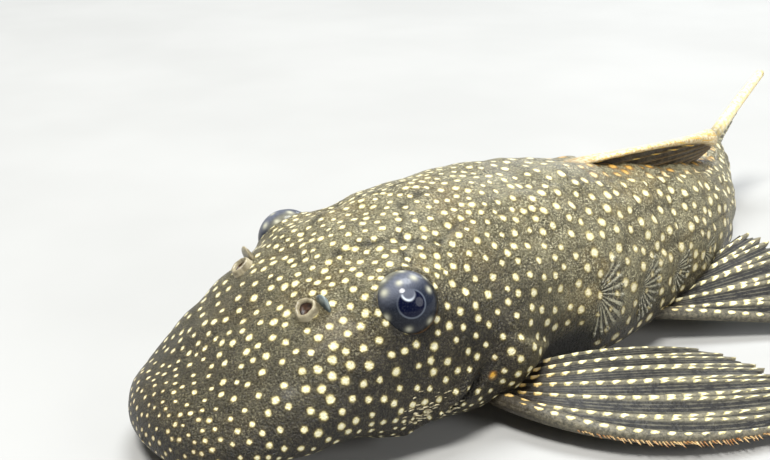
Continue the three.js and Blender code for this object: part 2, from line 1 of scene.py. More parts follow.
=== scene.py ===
import math
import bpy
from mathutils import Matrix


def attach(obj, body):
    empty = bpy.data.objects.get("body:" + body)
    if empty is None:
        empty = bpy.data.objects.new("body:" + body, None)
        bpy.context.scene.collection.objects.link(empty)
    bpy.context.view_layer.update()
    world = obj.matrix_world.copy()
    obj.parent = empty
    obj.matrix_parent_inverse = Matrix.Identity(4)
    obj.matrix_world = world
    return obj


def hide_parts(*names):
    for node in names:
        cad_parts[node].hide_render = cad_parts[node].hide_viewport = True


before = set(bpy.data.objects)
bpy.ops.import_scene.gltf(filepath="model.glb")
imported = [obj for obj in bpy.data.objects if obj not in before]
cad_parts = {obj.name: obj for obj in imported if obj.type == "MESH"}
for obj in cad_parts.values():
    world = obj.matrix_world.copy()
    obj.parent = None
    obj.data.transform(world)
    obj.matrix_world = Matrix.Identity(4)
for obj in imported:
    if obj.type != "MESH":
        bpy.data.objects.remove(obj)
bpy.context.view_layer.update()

from types import SimpleNamespace as Sizes

import bpy
import numpy as np
from mathutils import Matrix, kdtree

MM = 0.001
RNG = np.random.default_rng(11)
SIDES = ((-1, "left"), (1, "right"))

# The body's driving dimensions in millimetres, as in the solids' source. A station is a distance
# along the body from the tip of the snout.
STANDARD_LENGTH = 85
ORIGIN_STATION = 36
HEAD_END = 28
BEND_START = 53.3
BEND_END = 78
BEND_ANGLE = math.radians(37.6)
TOP = [[0, 3.3], [0.6, 5.1], [2, 6.6], [5.5, 8.5], [10, 11.8], [15, 14.9], [21, 17.9], [27, 19.4], [33, 20],
       [42, 19.4], [50, 17.8], [60, 15.7], [78, 12.7], [85, 12.8]]
BOTTOM = [[0, 2.9], [0.6, 2.1], [2, 1.8], [14, 1.6], [19, -0.3], [46, -0.4], [60, 1], [78, 3.2], [85, 3.4]]
HALF_WIDTH = [[0, 0], [0.6, 3.8], [1.5, 5.9], [3, 8], [6, 10.2], [12, 11.8], [24, 12.4], [34, 11.9],
              [42, 11.2], [50, 9.4], [60, 6.9], [70, 4.8], [78, 3.4], [85, 2.6]]
WIDEST_HEIGHT = [[0, 3.1], [2, 3.4], [5.5, 4.1], [12, 5.1], [21, 5.8], [42, 6], [60, 6.8], [85, 8.2]]
ROUNDNESS_ABOVE = 0.95
ROUNDNESS_BELOW = 0.85
EYE = Sizes(station=20.3, side=9.45, height=13.35, radius=2.9)
ORBIT_RISE = 1.5
ORBIT_SPREAD = 4.0
# Swells of the shoulder and the brow and hollows of the snout and the flank: station, angle
# in degrees, rise, spread along the body and spread round it in degrees.
SWELLS = [(30.4, -4, 0.9, 2.4, 24), (14, 48, 0.5, 5, 27), (4.5, 60, -0.6, 2, 26), (37, -16, -1.7, 4.2, 26)]
NOSTRIL = Sizes(station=13.3, side=5.4)
PLATE_PITCH = 3.0
PLATE_RISE = 0.3
PLATE_BULGE = 0.55
ROW_EDGES_DEG = [-35, -6, 21, 45, 68, 90]
# The visible skin lies a little inside the solids, so that it never stands out of them.
SKIN_INSET = 0.12
SNOUT_INSET = 0.28
MIDLINE_STEP = 0.5
MIDLINE_BEYOND_TAIL = 45


def ease(x, low, high):
    t = np.clip((np.asarray(x, float) - low) / (high - low), 0, 1)
    return t * t * (3 - 2 * t)


def bell(x, middle, spread):
    return np.exp(-((x - middle) / spread) ** 2)


def between(a, b, t):
    return a + (b - a) * t


def unit(vectors):
    return vectors / np.maximum(np.linalg.norm(vectors, axis=-1, keepdims=True), 1e-9)


def circle(count):
    return np.linspace(0, math.tau, count, endpoint=False)


def from_axes(at, axes, *distances):
    """Points at three distances along three axes from a place."""
    return at + sum(np.asarray(distance)[..., None] * axis for distance, axis in zip(distances, axes))


def curve_through(points):
    """A smooth curve through a profile's points that never overshoots them."""
    x = np.array([p[0] for p in points], float)
    y = np.array([p[1] for p in points], float)
    slope = np.diff(y) / np.diff(x)
    tangent = np.zeros_like(y)
    tangent[0] = slope[0]
    tangent[-1] = slope[-1]
    product = slope[:-1] * slope[1:]
    total = slope[:-1] + slope[1:]
    good = product > 0
    tangent[1:-1][good] = 2 * product[good] / total[good]

    def at(s):
        s = np.asarray(s, float)
        i = np.clip(np.searchsorted(x, s, side="right") - 1, 0, len(x) - 2)
        h = x[i + 1] - x[i]
        t = np.clip((s - x[i]) / h, 0, 1)
        t2 = t * t
        t3 = t2 * t
        return ((2 * t3 - 3 * t2 + 1) * y[i] + (t3 - 2 * t2 + t) * h * tangent[i]
                + (3 * t2 - 2 * t3) * y[i + 1] + (t3 - t2) * h * tangent[i + 1])

    return at


top_at = curve_through(TOP)
bottom_at = curve_through(BOTTOM)
half_width_at = curve_through(HALF_WIDTH)
widest_at = curve_through(WIDEST_HEIGHT)


def heading_at(s):
    return BEND_ANGLE * ease(s, BEND_START, BEND_END)


midline_s = np.arange(0, STANDARD_LENGTH + MIDLINE_BEYOND_TAIL, MIDLINE_STEP)
step_heading = heading_at(midline_s + MIDLINE_STEP / 2)
midline_x = np.concatenate([[0], np.cumsum(MIDLINE_STEP * np.cos(step_heading))]) - ORIGIN_STATION
midline_y = np.concatenate([[0], np.cumsum(MIDLINE_STEP * np.sin(step_heading))])
midline_s = np.concatenate([midline_s, [midline_s[-1] + MIDLINE_STEP]])


def place(station, side, height):
    """Points at a station, a distance to the right of the midline and a height above the floor."""
    station, side, height = np.broadcast_arrays(*(np.asarray(v, float) for v in (station, side, height)))
    h = heading_at(station)
    x = np.interp(station, midline_s, midline_x)
    y = np.interp(station, midline_s, midline_y)
    return np.stack([x - side * np.sin(h), y + side * np.cos(h), height], axis=-1)


def unwrapped(angle):
    """Angles with the lower right side's from -90 degrees to 0."""
    return np.where(angle > 1.5 * math.pi, angle - math.tau, angle)


def folded_degrees(angle):
    """Either side's angle in degrees: -90 below, 0 at the side and 90 on the back."""
    degrees = np.degrees(unwrapped(angle))
    return np.where(degrees > 90, 180 - degrees, degrees)


def swell_rise(station, angle):
    total = np.zeros(np.shape(angle))
    for middle, angle_deg, rise, along, round_deg in SWELLS:
        target = math.radians(angle_deg)
        off = np.minimum(np.abs(unwrapped(angle) - target), np.abs(math.pi - angle - target))
        total += rise * bell(station, middle, along) * bell(off, 0, math.radians(round_deg))
    return total


def skin_point(station, angle, offset=0.0):
    """Points of the body's surface. The angle is 0 on the right, 90 degrees on the back."""
    station, angle = np.broadcast_arrays(np.asarray(station, float), np.asarray(angle, float))
    c = np.cos(angle)
    d = np.sin(angle)
    widest = widest_at(station)
    above = d >= 0
    power = np.where(above, ROUNDNESS_ABOVE, ROUNDNESS_BELOW)
    reach = np.where(above, top_at(station) - widest, widest - bottom_at(station))
    side = half_width_at(station) * np.sign(c) * np.abs(c) ** power
    rise = reach * np.sign(d) * np.abs(d) ** np.where(above, 1.0, ROUNDNESS_BELOW)
    radius = np.hypot(side, rise)
    to_eye = np.stack([station - EYE.station, np.abs(side) - EYE.side, widest + rise - EYE.height])
    orbit = ORBIT_RISE * bell(np.linalg.norm(to_eye, axis=0), 0, ORBIT_SPREAD)
    swell = 1 + (offset + orbit + swell_rise(station, angle)) / np.maximum(radius, 1)
    return place(station, side * swell, np.maximum(widest + rise * swell, 0.0))


def angle_at_side(station, side):
    """The angle of the skin on the upper side at a distance from the midline."""
    c = min(abs(side) / float(half_width_at(station)), 1) ** (1 / ROUNDNESS_ABOVE)
    return math.acos(c) if side >= 0 else math.pi - math.acos(c)


def skin_axes(station, angle):
    """A point of the skin with its directions to the tail, round the body and outwards."""
    h = 0.05
    at = skin_point(station, angle, -SKIN_INSET)
    along = unit(skin_point(station + h, angle) - skin_point(station - h, angle))
    normal = unit(np.cross(skin_point(station, angle + h) - skin_point(station, angle - h), along))
    return at, along, np.cross(along, normal), normal


# Mesh and material helpers.
def add_object(name, data):
    obj = bpy.data.objects.new(name, data)
    bpy.context.scene.collection.objects.link(obj)
    return obj


def add_mesh(name, points_mm, faces, material, replaced=(), attributes=None):
    mesh = bpy.data.meshes.new(name)
    mesh.from_pydata((np.asarray(points_mm) * MM).tolist(), [], [list(map(int, f)) for f in faces])
    mesh.validate()
    for key, values in (attributes or {}).items():
        values = np.asarray(values, float)
        if values.ndim == 1:
            layer = mesh.attributes.new(key, "FLOAT", "POINT")
            layer.data.foreach_set("value", values.astype(np.float32))
        else:
            layer = mesh.attributes.new(key, "FLOAT_COLOR", "POINT")
            rgba = np.concatenate([values, np.ones((len(values), 1))], axis=1)
            layer.data.foreach_set("color", rgba.astype(np.float32).ravel())
    mesh.polygons.foreach_set("use_smooth", [True] * len(mesh.polygons))
    mesh.materials.append(material)
    obj = add_object(name, mesh)
    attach(obj, "root")
    if replaced:
        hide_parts(*replaced)


def grid_faces(rows, columns, closed=False, offset=0, flip=False):
    """Quads of a grid of points, row by row."""
    i, j = np.meshgrid(np.arange(rows - 1), np.arange(columns if closed else columns - 1), indexing="ij")
    a = i * columns + j
    b = i * columns + (j + 1) % columns
    quads = np.stack([a, b, b + columns, a + columns], axis=-1).reshape(-1, 4) + offset
    return quads[:, ::-1] if flip else quads


def capped_faces(rows, columns):
    """Faces of a tube of rings, with a fan at each end to one of the two points after the rings."""
    last = (rows - 1) * columns
    hub = rows * columns
    faces = list(grid_faces(rows, columns, closed=True))
    faces += [[(j + 1) % columns, j, hub] for j in range(columns)]
    faces += [[last + j, last + (j + 1) % columns, hub + 1] for j in range(columns)]
    return faces


# A mix node's sockets for colours, by number.
MIX_FIRST = 6
MIX_SECOND = 7
MIX_RESULT = 2


class Nodes:
    """Short names for building a material's node tree."""

    def __init__(self, name):
        self.material = bpy.data.materials.new(name)
        self.material.use_nodes = True
        self.tree = self.material.node_tree
        spot = self.node("TexCoord", {}, {}).outputs["Object"]
        self.position = self.node("VectorMath", {"operation": "SCALE"}, {0: spot, "Scale": 1 / MM}).outputs[0]

    def node(self, kind, settings, values):
        """A new node with its settings made, and its inputs linked or set."""
        node = self.tree.nodes.new("ShaderNode" + kind)
        for key, value in settings.items():
            setattr(node, key, value)
        for key, value in values.items():
            self.feed(node.inputs[key], value)
        return node

    def feed(self, socket, value):
        if isinstance(value, bpy.types.NodeSocket):
            self.tree.links.new(value, socket)
        elif isinstance(value, tuple):
            socket.default_value = (*value, 1)
        elif value is not None:
            socket.default_value = value

    def attribute(self, name, output="Fac"):
        return self.node("Attribute", {"attribute_name": name}, {}).outputs[output]

    def noise(self, scale, detail=3.0, roughness=0.55):
        return self.node("TexNoise", {}, {"Vector": self.position, "Scale": scale, "Detail": detail,
                                          "Roughness": roughness}).outputs["Fac"]

    def grain(self, noise, cell_scale):
        """The noise with a small pit in each cell of a pattern of cells."""
        cells = self.node("TexVoronoi", {}, {"Vector": self.position, "Scale": cell_scale})
        return self.linear(cells.outputs["Distance"], -0.7, noise)

    def math(self, operation, a, b=None, c=None):
        return self.node("Math", {"operation": operation}, {0: a, 1: b, 2: c}).outputs[0]

    def times(self, a, b):
        return self.math("MULTIPLY", a, b)

    def linear(self, value, slope, offset):
        return self.math("MULTIPLY_ADD", value, slope, offset)

    def ramp(self, value, low, high, at_low=0.0, at_high=1.0):
        values = {"Value": value, "From Min": low, "From Max": high, "To Min": at_low, "To Max": at_high}
        return self.node("MapRange", {"interpolation_type": "SMOOTHSTEP"}, values).outputs["Result"]

    def fall(self, value, low, high):
        return self.ramp(value, low, high, 1.0, 0.0)

    def mix(self, factor, a, b):
        values = {"Factor": factor, MIX_FIRST: a, MIX_SECOND: b}
        return self.node("Mix", {"data_type": "RGBA"}, values).outputs[MIX_RESULT]

    def bump(self, height, distance, strength=1.0, normal=None):
        return self.node("Bump", {}, {"Strength": strength, "Distance": distance * MM, "Height": height,
                                      "Normal": normal}).outputs["Normal"]

    def finish(self, color, roughness, normal=None, specular=0.5, coat=0.0, coat_roughness=0.03):
        shader = next(n for n in self.tree.nodes if n.type == "BSDF_PRINCIPLED")
        values = {"Base Color": color, "Roughness": roughness, "Normal": normal,
                  "Specular IOR Level": specular, "Coat Weight": coat, "Coat Roughness": coat_roughness}
        for key, value in values.items():
            self.feed(shader.inputs[key], value)
        return self.material


# Colours, linear.
def srgb(r, g, b):
    return tuple(((v / 255) / 12.92 if v <= 10 else ((v / 255 + 0.055) / 1.055) ** 2.4) for v in (r, g, b))


# The dark and mid skin colours are the shaded copy and the olive and back colours the lit copy of the ground,
# as are the two speck and the two pore colours, mixed by painted top light together with a paler back. The
# darkest pore colour also paints the shade of creases and hollows.
SKIN_DARK = srgb(24, 19, 11)
SKIN_MID = srgb(42, 35, 21)
SKIN_PORE_AND_SHADE = srgb(12, 10, 6)
SKIN_SPECK = srgb(150, 143, 112)
SKIN_OLIVE = srgb(108, 101, 74)
SKIN_BACK = srgb(138, 132, 102)
SKIN_OCHRE = srgb(132, 114, 70)
SPECK_BACK = srgb(214, 207, 172)
PORE_BACK = srgb(52, 50, 41)
COMB_GAP = srgb(50, 48, 40)
COMB_RIDGE = srgb(192, 188, 162)
DOT_CORE = srgb(252, 248, 216)
DOT_SHADE = srgb(216, 202, 136)
DOT_HALO = srgb(96, 84, 44)
DOT_WARM = srgb(232, 176, 62)
DOT_RIM = srgb(142, 96, 28)
BELLY_PALE = srgb(176, 166, 146)
BELLY_SHADE = srgb(140, 128, 108)
MEMBRANE = srgb(30, 29, 28)
MEMBRANE_LINE = srgb(112, 108, 92)
FIN_ROOT = srgb(34, 24, 12)
FIN_MARGIN = srgb(150, 138, 106)
RAY = srgb(150, 144, 120)
# Pale colour of the eyes' painted gloss specks.
EYE_GLOSS_SPECK = srgb(150, 160, 172)
FLOOR_PALE = (0.43, 0.43, 0.42)
FLOOR_SHADE = (0.40, 0.40, 0.39)


def skin_material():
    """Dark skin with a pale gritty back and flanks, lighter where it faces up as painted top light, pale dots
    with ragged edges, and painted shade in creases and hollows.
    """
    m = Nodes("skin_spotted")
    warm = m.attribute("warm")
    light = m.attribute("top_light_and_pale_back")
    comb = m.attribute("comb")
    ragged = m.linear(m.math("SUBTRACT", m.noise(3.2, 2.0, 0.6), 0.5), 0.75, m.attribute("dot"))
    ragged = m.linear(comb, 0.35, ragged)
    mask = m.fall(ragged, 0.78, 1.2)
    core = m.fall(ragged, 0.45, 1.0)
    # Broad patches and a finer mottle, in a shaded and a lit copy mixed by the painted top light.
    patches = m.ramp(m.noise(0.34, 4.0), 0.34, 0.68)
    low = m.mix(patches, SKIN_DARK, SKIN_MID)
    high = m.mix(patches, SKIN_OLIVE, SKIN_BACK)
    high = m.mix(m.times(m.ramp(m.noise(0.21, 3.0), 0.5, 0.66), 0.55), high, SKIN_OCHRE)
    mottle = m.ramp(m.noise(1.1, 3.0, 0.6), 0.42, 0.64)
    ground = m.mix(m.times(mottle, 0.42), m.mix(light, low, high), low)
    # The ridges of the combs.
    stripe = m.linear(m.math("SINE", m.attribute("comb_phase")), 0.5, 0.5)
    stripe = m.ramp(m.linear(m.noise(2.5, 2.0), 0.8, m.math("ADD", stripe, -0.4)), 0.25, 0.85)
    ground = m.mix(m.times(comb, 0.9), ground, m.mix(stripe, COMB_GAP, COMB_RIDGE))
    # Grit: dark pores and pale specks, each in a shaded and a lit copy mixed by the painted top light, with
    # the specks fainter in the shade.
    grit = m.noise(5.2, 3.0, 0.75)
    field = m.ramp(m.noise(0.9, 3.0), 0.4, 0.66)
    speck = m.times(m.ramp(grit, 0.52, 0.61), m.linear(field, 0.5, 0.42))
    speck = m.times(speck, m.linear(light, 0.6, 0.4))
    pore = m.fall(grit, 0.36, 0.47)
    ground = m.mix(m.times(pore, 0.7), ground, m.mix(light, SKIN_PORE_AND_SHADE, PORE_BACK))
    ground = m.mix(speck, ground, m.mix(light, SKIN_SPECK, SPECK_BACK))
    # Painted shade in creases, grooves and hollows, and the dark seams of the head.
    ground = m.mix(m.times(m.attribute("shade_and_seams"), 0.85), ground, SKIN_PORE_AND_SHADE)
    # The dots, each with a darker rim, and the belly.
    halo = m.times(m.fall(ragged, 1.1, 1.7), 0.4)
    ground = m.mix(halo, ground, m.mix(warm, DOT_HALO, DOT_RIM))
    spot = m.mix(core, m.mix(warm, DOT_SHADE, DOT_RIM), m.mix(warm, DOT_CORE, DOT_WARM))
    belly = m.mix(m.ramp(m.noise(0.9, 3.0), 0.4, 0.7), BELLY_PALE, BELLY_SHADE)
    color = m.mix(m.attribute("belly"), m.mix(mask, ground, spot), belly)
    normal = m.bump(m.grain(grit, 4.6), 0.2)
    normal = m.bump(m.times(stripe, comb), 0.16, 1.0, normal)
    normal = m.bump(mask, 0.05, 0.6, normal)
    roughness = m.ramp(grit, 0.35, 0.65, 0.27, 0.5)
    return m.finish(color, roughness, normal, specular=0.4, coat=0.06, coat_roughness=0.25)


def fin_material(name, membrane, cloud_color, ray_color, spine_color, spine_band, dot_core):
    """A clouded membrane with faint lines, paler rays and spine, and pale dots along the rays."""
    m = Nodes(name)
    root = m.attribute("root")
    clouds = m.ramp(m.noise(1.6, 5.0, 0.7), 0.44, 0.7)
    skin = m.mix(m.times(clouds, 0.7), membrane, cloud_color)
    lines = m.math("ADD", m.math("SINE", m.attribute("line")), -1.8)
    lines = m.ramp(m.linear(m.noise(0.8, 4.0, 0.6), 3.6, lines), 0.35, 1.05)
    skin = m.mix(m.times(lines, 0.5), skin, MEMBRANE_LINE)
    streak = m.ramp(m.noise(2.6, 4.0, 0.7), 0.34, 0.66)
    color = m.mix(m.times(m.attribute("ray"), m.linear(streak, 0.5, 0.4)), skin, ray_color)
    color = m.mix(m.attribute("spine"), color, m.mix(streak, spine_color, spine_band))
    color = m.mix(m.times(root, 0.7), color, FIN_ROOT)
    ragged = m.linear(m.math("SUBTRACT", m.noise(3.0, 3.0), 0.5), 1.1, m.attribute("dot"))
    pale = m.mix(m.fall(ragged, 0.35, 1.0), DOT_SHADE, dot_core)
    color = m.mix(m.fall(ragged, 0.75, 1.2), color, m.mix(m.times(root, 0.6), pale, DOT_WARM))
    color = m.mix(m.times(m.attribute("margin"), 0.4), color, FIN_MARGIN)
    roughness = m.ramp(m.noise(2.0, 2.0), 0.3, 0.7, 0.36, 0.55)
    normal = m.bump(m.grain(m.noise(7.0, 3.0), 4.0), 0.06, 0.8)
    return m.finish(color, roughness, normal, specular=0.22, coat=0.03, coat_roughness=0.25)


def eye_material():
    m = Nodes("eye_wet")
    # Faint pale specks of painted gloss over the eye's colours.
    gloss_specks = m.times(m.ramp(m.noise(9.0, 3.0), 0.45, 0.75), 0.06)
    color = m.mix(gloss_specks, m.attribute("eye_color", "Color"), EYE_GLOSS_SPECK)
    return m.finish(color, 0.32, specular=0.05, coat=0.3, coat_roughness=0.07)


def plain_skin_material(name, first, second, scale, roughness, depth):
    m = Nodes(name)
    color = m.mix(m.ramp(m.noise(scale, 4.0), 0.35, 0.68), first, second)
    normal = m.bump(m.noise(scale * 3, 3.0), depth, 0.8)
    return m.finish(color, roughness, normal, coat=0.1, coat_roughness=0.2)


SKIN = skin_material()
EYE_WET = eye_material()
FIN_DARK = fin_material("fin_spotted", MEMBRANE, srgb(62, 60, 54), RAY,
                        srgb(76, 74, 66), srgb(124, 118, 100), DOT_CORE)
# The dorsal fin's dark brown membrane is its own brown darkened as painted shade under the folded fin; the
# adipose fin shares this material.
FIN_DORSAL = fin_material("fin_dorsal", srgb(52, 42, 28), srgb(92, 76, 50), srgb(140, 116, 76),
                          srgb(240, 228, 190), srgb(196, 160, 96), DOT_WARM)
FIN_CAUDAL = fin_material("fin_caudal", srgb(74, 74, 64), srgb(120, 118, 100), srgb(166, 158, 128),
                          srgb(248, 242, 214), srgb(240, 214, 140), DOT_CORE)
BRISTLE = plain_skin_material("odontode", srgb(206, 176, 124), srgb(150, 98, 48), 1.4, 0.35, 0.02)
CHEEK_BRISTLE = plain_skin_material("cheek_odontode", srgb(214, 204, 168), srgb(120, 106, 74), 2.4, 0.35, 0.02)
COMB = plain_skin_material("plate_odontode", srgb(172, 169, 150), srgb(104, 101, 86), 1.6, 0.45, 0.03)
NOSTRIL_SKIN = plain_skin_material("nostril_skin", srgb(172, 162, 134), srgb(112, 102, 78), 1.6, 0.36, 0.03)
# The nostril pit's dark brown is partly painted shade in the hole.
NOSTRIL_PIT = plain_skin_material("nostril_pit", srgb(70, 46, 28), srgb(30, 20, 14), 2.0, 0.5, 0.02)
# The left nostril flap's darker bluish colours are painted shade; the right flap has the rim's skin colour.
NOSTRIL_FLAP_SHADED = plain_skin_material("nostril_flap", srgb(62, 78, 88), srgb(132, 142, 140), 1.3, 0.3, 0.02)
LIP_SKIN = plain_skin_material("lip_papillae", srgb(172, 158, 132), srgb(128, 112, 90), 1.2, 0.5, 0.06)


# The skin: rings of points, spaced evenly along the body and round it.
SKIN_ROWS = 372
SKIN_COLUMNS = 262
RING_SAMPLES = 721
LENGTH_SAMPLES = 3000
FIRST_RING = 0.12


def angle_grid(stations, columns):
    fine = np.linspace(-math.pi / 2, 1.5 * math.pi, RING_SAMPLES)
    angles = np.empty((len(stations), columns))
    for i, s in enumerate(stations):
        ring = skin_point(np.full_like(fine, s), np.mod(fine, math.tau))
        length = np.concatenate([[0], np.cumsum(np.linalg.norm(np.diff(ring, axis=0), axis=1))])
        angles[i] = np.interp(np.arange(columns) / columns * length[-1], length, fine)
    return np.mod(angles, math.tau)


def even_stations(count):
    fine = np.linspace(0, STANDARD_LENGTH, LENGTH_SAMPLES)
    run = np.sqrt(np.diff(fine) ** 2 + np.maximum(np.abs(np.diff(top_at(fine))),
                                                 np.abs(np.diff(half_width_at(fine)))) ** 2)
    length = np.concatenate([[0], np.cumsum(run)])
    return np.interp(np.linspace(FIRST_RING, length[-1], count), length, fine)


# Along a plate the height rises to a crest near its rear edge. Every second row of plates is shifted.
PLATE_CREST = 0.93
ROW_SHIFT = 1.1
ROW_GROOVE = 0.1


def plate_relief(station, folded):
    """The height of the armour's overlapping plates, and how deep in a crease a point is, for painted shade in
    the creases.
    """
    edges = np.array(ROW_EDGES_DEG, float)
    row = np.clip(np.searchsorted(edges, folded, side="right") - 1, 0, len(edges) - 2)
    across = np.clip((folded - edges[row]) / (edges[row + 1] - edges[row]), 0, 1)
    keel = np.sin(math.pi * across)
    phase = (station - HEAD_END - PLATE_BULGE * keel - ROW_SHIFT * (row % 2)) / PLATE_PITCH
    t = phase - np.floor(phase)
    saw = np.where(t < PLATE_CREST, t / PLATE_CREST, (1 - t) / (1 - PLATE_CREST))
    armoured = ease(station, HEAD_END, HEAD_END + 3) * ease(folded, -36, -30)
    armoured = armoured * (0.35 + 0.65 * ease(station, 40, 58))
    groove = 1 - ease(np.minimum(across, 1 - across), 0.0, 0.1)
    height = armoured * (PLATE_RISE * 0.7 * saw * (0.55 + 0.45 * keel) - ROW_GROOVE * groove)
    shade_and_seams = armoured * np.maximum(1 - ease(np.minimum(t, 1 - t), 0.0, 0.12), 0.4 * groove)
    return height, 0.7 * shade_and_seams


stations = even_stations(SKIN_ROWS)
ANGLES = angle_grid(stations, SKIN_COLUMNS)
STATIONS = np.repeat(stations[:, None], SKIN_COLUMNS, axis=1)
FOLDED = folded_degrees(ANGLES)


def past(low, high):
    return ease(STATIONS, low, high)


def above(low, high):
    return ease(FOLDED, low, high)


def at_station(points):
    """A value at each point of the skin, from pairs of a station and a value."""
    return np.interp(STATIONS, *zip(*points))


relief, shade_and_seams = plate_relief(STATIONS, FOLDED)
base_points = skin_point(STATIONS, ANGLES, -SKIN_INSET)

# The eyelid: a low ring of skin round each eye, and the dark line between them, which is painted shade in the
# gap.
EYELID = Sizes(out=0.1, width=0.22, rise=0.16, line_width=0.16, line_depth=0.8)
for side, _ in SIDES:
    centre = place(EYE.station, side * EYE.side, EYE.height)
    out_of_eye = np.linalg.norm(base_points - centre, axis=-1) - EYE.radius
    relief += EYELID.rise * bell(out_of_eye, EYELID.out, EYELID.width)
    shade_and_seams = np.maximum(shade_and_seams, EYELID.line_depth * bell(out_of_eye, 0, EYELID.line_width))

# The gill opening: a curved groove behind the cheek, low on each side, with its cover ahead of it; the groove
# is darkened as painted shade.
GILL = Sizes(station=25.6, lean=0.16, bow=0.5, width=0.62, depth=1.2,
             cover_ahead=1.3, cover_width=0.8, cover_rise=0.45)
gill_station = (GILL.station + GILL.lean * np.clip(FOLDED, -30, 16)
                + GILL.bow * np.cos(np.radians(4 * np.clip(FOLDED, -22, 22))))
gill_reach = (1 - above(-4, 8)) * above(-48, -30)
gill = bell(STATIONS, gill_station, GILL.width) * gill_reach
cover = bell(STATIONS, gill_station - GILL.cover_ahead, GILL.cover_width) * gill_reach
relief += GILL.cover_rise * cover - GILL.depth * gill
shade_and_seams = np.maximum(shade_and_seams, gill)

# The shoulder's lobe over the root of the pectoral fin, pointing back: its edges' folded angles.
LOBE_TOP = [(28, 13.5), (30, 11.2), (33.2, 4.5), (35.3, 0.8)]
LOBE_LOW = [(28, -9), (31.3, -3.5), (33.8, -1.2), (35.3, 0.8)]
LOBE_EDGE_DEG = 1.5
LOBE_RISE = 0.45
LOBE_RIM_RISE = 0.16
lobe_top = at_station(LOBE_TOP)
lobe_reach = past(28, 31.5) * (1 - past(34.9, 35.5))
lobe = (ease(lobe_top - FOLDED, -LOBE_EDGE_DEG, LOBE_EDGE_DEG)
        * ease(FOLDED - at_station(LOBE_LOW), -LOBE_EDGE_DEG, LOBE_EDGE_DEG) * lobe_reach)
lobe_rim = bell(FOLDED, lobe_top, LOBE_EDGE_DEG) * lobe_reach
relief += LOBE_RISE * lobe + LOBE_RIM_RISE * lobe_rim

# Slight folds of the skin, as the sum of a few waves across the body.
FOLD_WAVES = 9
FOLD_LENGTHS = (2.6, 6.5)
FOLD_RISE = 0.045
for _ in range(FOLD_WAVES):
    wave = unit(RNG.normal(size=3)) * math.tau / RNG.uniform(*FOLD_LENGTHS)
    phase = RNG.uniform(0, math.tau)
    relief += FOLD_RISE * np.sin(base_points @ wave + phase) * past(1, 5)

# Where head bones meet: short dark seams between two points, each a station and a folded angle.
HEAD_SEAMS = [((20.8, 71), (25.6, 56)), ((25.2, 82), (22.4, 62)), ((22.4, 62), (21.6, 49)),
              ((25.6, 56), (29, 62)), ((25.2, 82), (28.8, 84)), ((20.8, 71), (18, 78))]
SEAM_WIDTH = 0.26
SEAM_DEPTH = 0.12
SEAM_DARK = 0.8
MM_PER_DEGREE = 0.19


def seam_near(start, end):
    """How near a seam each point is, up to 1 on the seam."""
    scale = np.array([1, MM_PER_DEGREE])
    a, b = np.array(start) * scale, np.array(end) * scale
    x, y = STATIONS - a[0], FOLDED * MM_PER_DEGREE - a[1]
    d = b - a
    t = np.clip((x * d[0] + y * d[1]) / (d @ d), 0, 1)
    wander = 0.12 * np.sin(3.1 * STATIONS + 1.7 * FOLDED * MM_PER_DEGREE)
    return bell(np.hypot(x - t * d[0], y - t * d[1]) + wander, 0, SEAM_WIDTH)


for start, end in HEAD_SEAMS:
    seam = seam_near(start, end)
    relief -= SEAM_DEPTH * seam
    shade_and_seams = np.maximum(shade_and_seams, SEAM_DARK * seam)
points = skin_point(STATIONS, ANGLES, relief - SKIN_INSET)
points[..., 0] += SNOUT_INSET * (1 - past(0, 3))
flat_points = points.reshape(-1, 3)

# Dots: scattered evenly, smaller towards the edge of the snout and low on the cheeks, closer on the head.
DOT_SPACING = 1.1
DOT_RADIUS = 0.345
DOT_CANDIDATES = 26000
DOT_SPACING_SPREAD = (0.97, 1.06)
DOT_RADIUS_SPREAD = (0.82, 1.16)
NO_DOT = 2.5


def dot_scale(station, height):
    snout = 0.7 + 0.3 * ease(station, 1.0, 10.0)
    on_head = 1 - ease(station, 24, 30)
    low = on_head * (0.6 + 0.4 * ease(height, 1.5, 7.5))
    low = low + (1 - on_head) * (0.85 + 0.15 * ease(height, 1, 4))
    return np.minimum(snout, low) * (1 + 0.22 * ease(station, 30, 48))


def spread_dots(candidates, spacing):
    """Adds the candidate farthest from all kept, in spacings, until none is a spacing away."""
    kept = [0]
    reach = np.full(len(candidates), np.inf)
    while True:
        offset = candidates - candidates[kept[-1]]
        reach = np.minimum(reach, np.sqrt(np.einsum("ij,ij->i", offset, offset)) / spacing)
        farthest = int(np.argmax(reach))
        if reach[farthest] < 1:
            return np.array(kept)
        kept.append(farthest)


order = RNG.permutation(len(flat_points))[:DOT_CANDIDATES]
dot_station = STATIONS.ravel()[order]
sizes = dot_scale(dot_station, flat_points[order, 2])
on_top = (above(25, 60) * past(10, 18) * (1 - past(30, 44))).ravel()[order]
spacing = DOT_SPACING * sizes * (1 - 0.24 * on_top) * RNG.uniform(*DOT_SPACING_SPREAD, len(order))
kept = spread_dots(flat_points[order], spacing)
dot_station = dot_station[kept]
dot_radius = DOT_RADIUS * sizes[kept] * RNG.uniform(*DOT_RADIUS_SPREAD, len(kept))
dot_radius *= (0.84 + 0.16 * ease(dot_station, 2, 12)) * (1 - 0.08 * on_top[kept])
dot_radius *= 1 + 0.08 * ease(dot_station, 30, 48)
tree = kdtree.KDTree(len(kept))
for i, p in enumerate(flat_points[order][kept]):
    tree.insert(p, i)
tree.balance()
dot = np.array([min(d / dot_radius[k] for _, k, d in tree.find_n(p, 2)) for p in flat_points])
# No dots in the gill groove, which is darkened as painted shade.
dot = dot.reshape(STATIONS.shape) + NO_DOT * gill

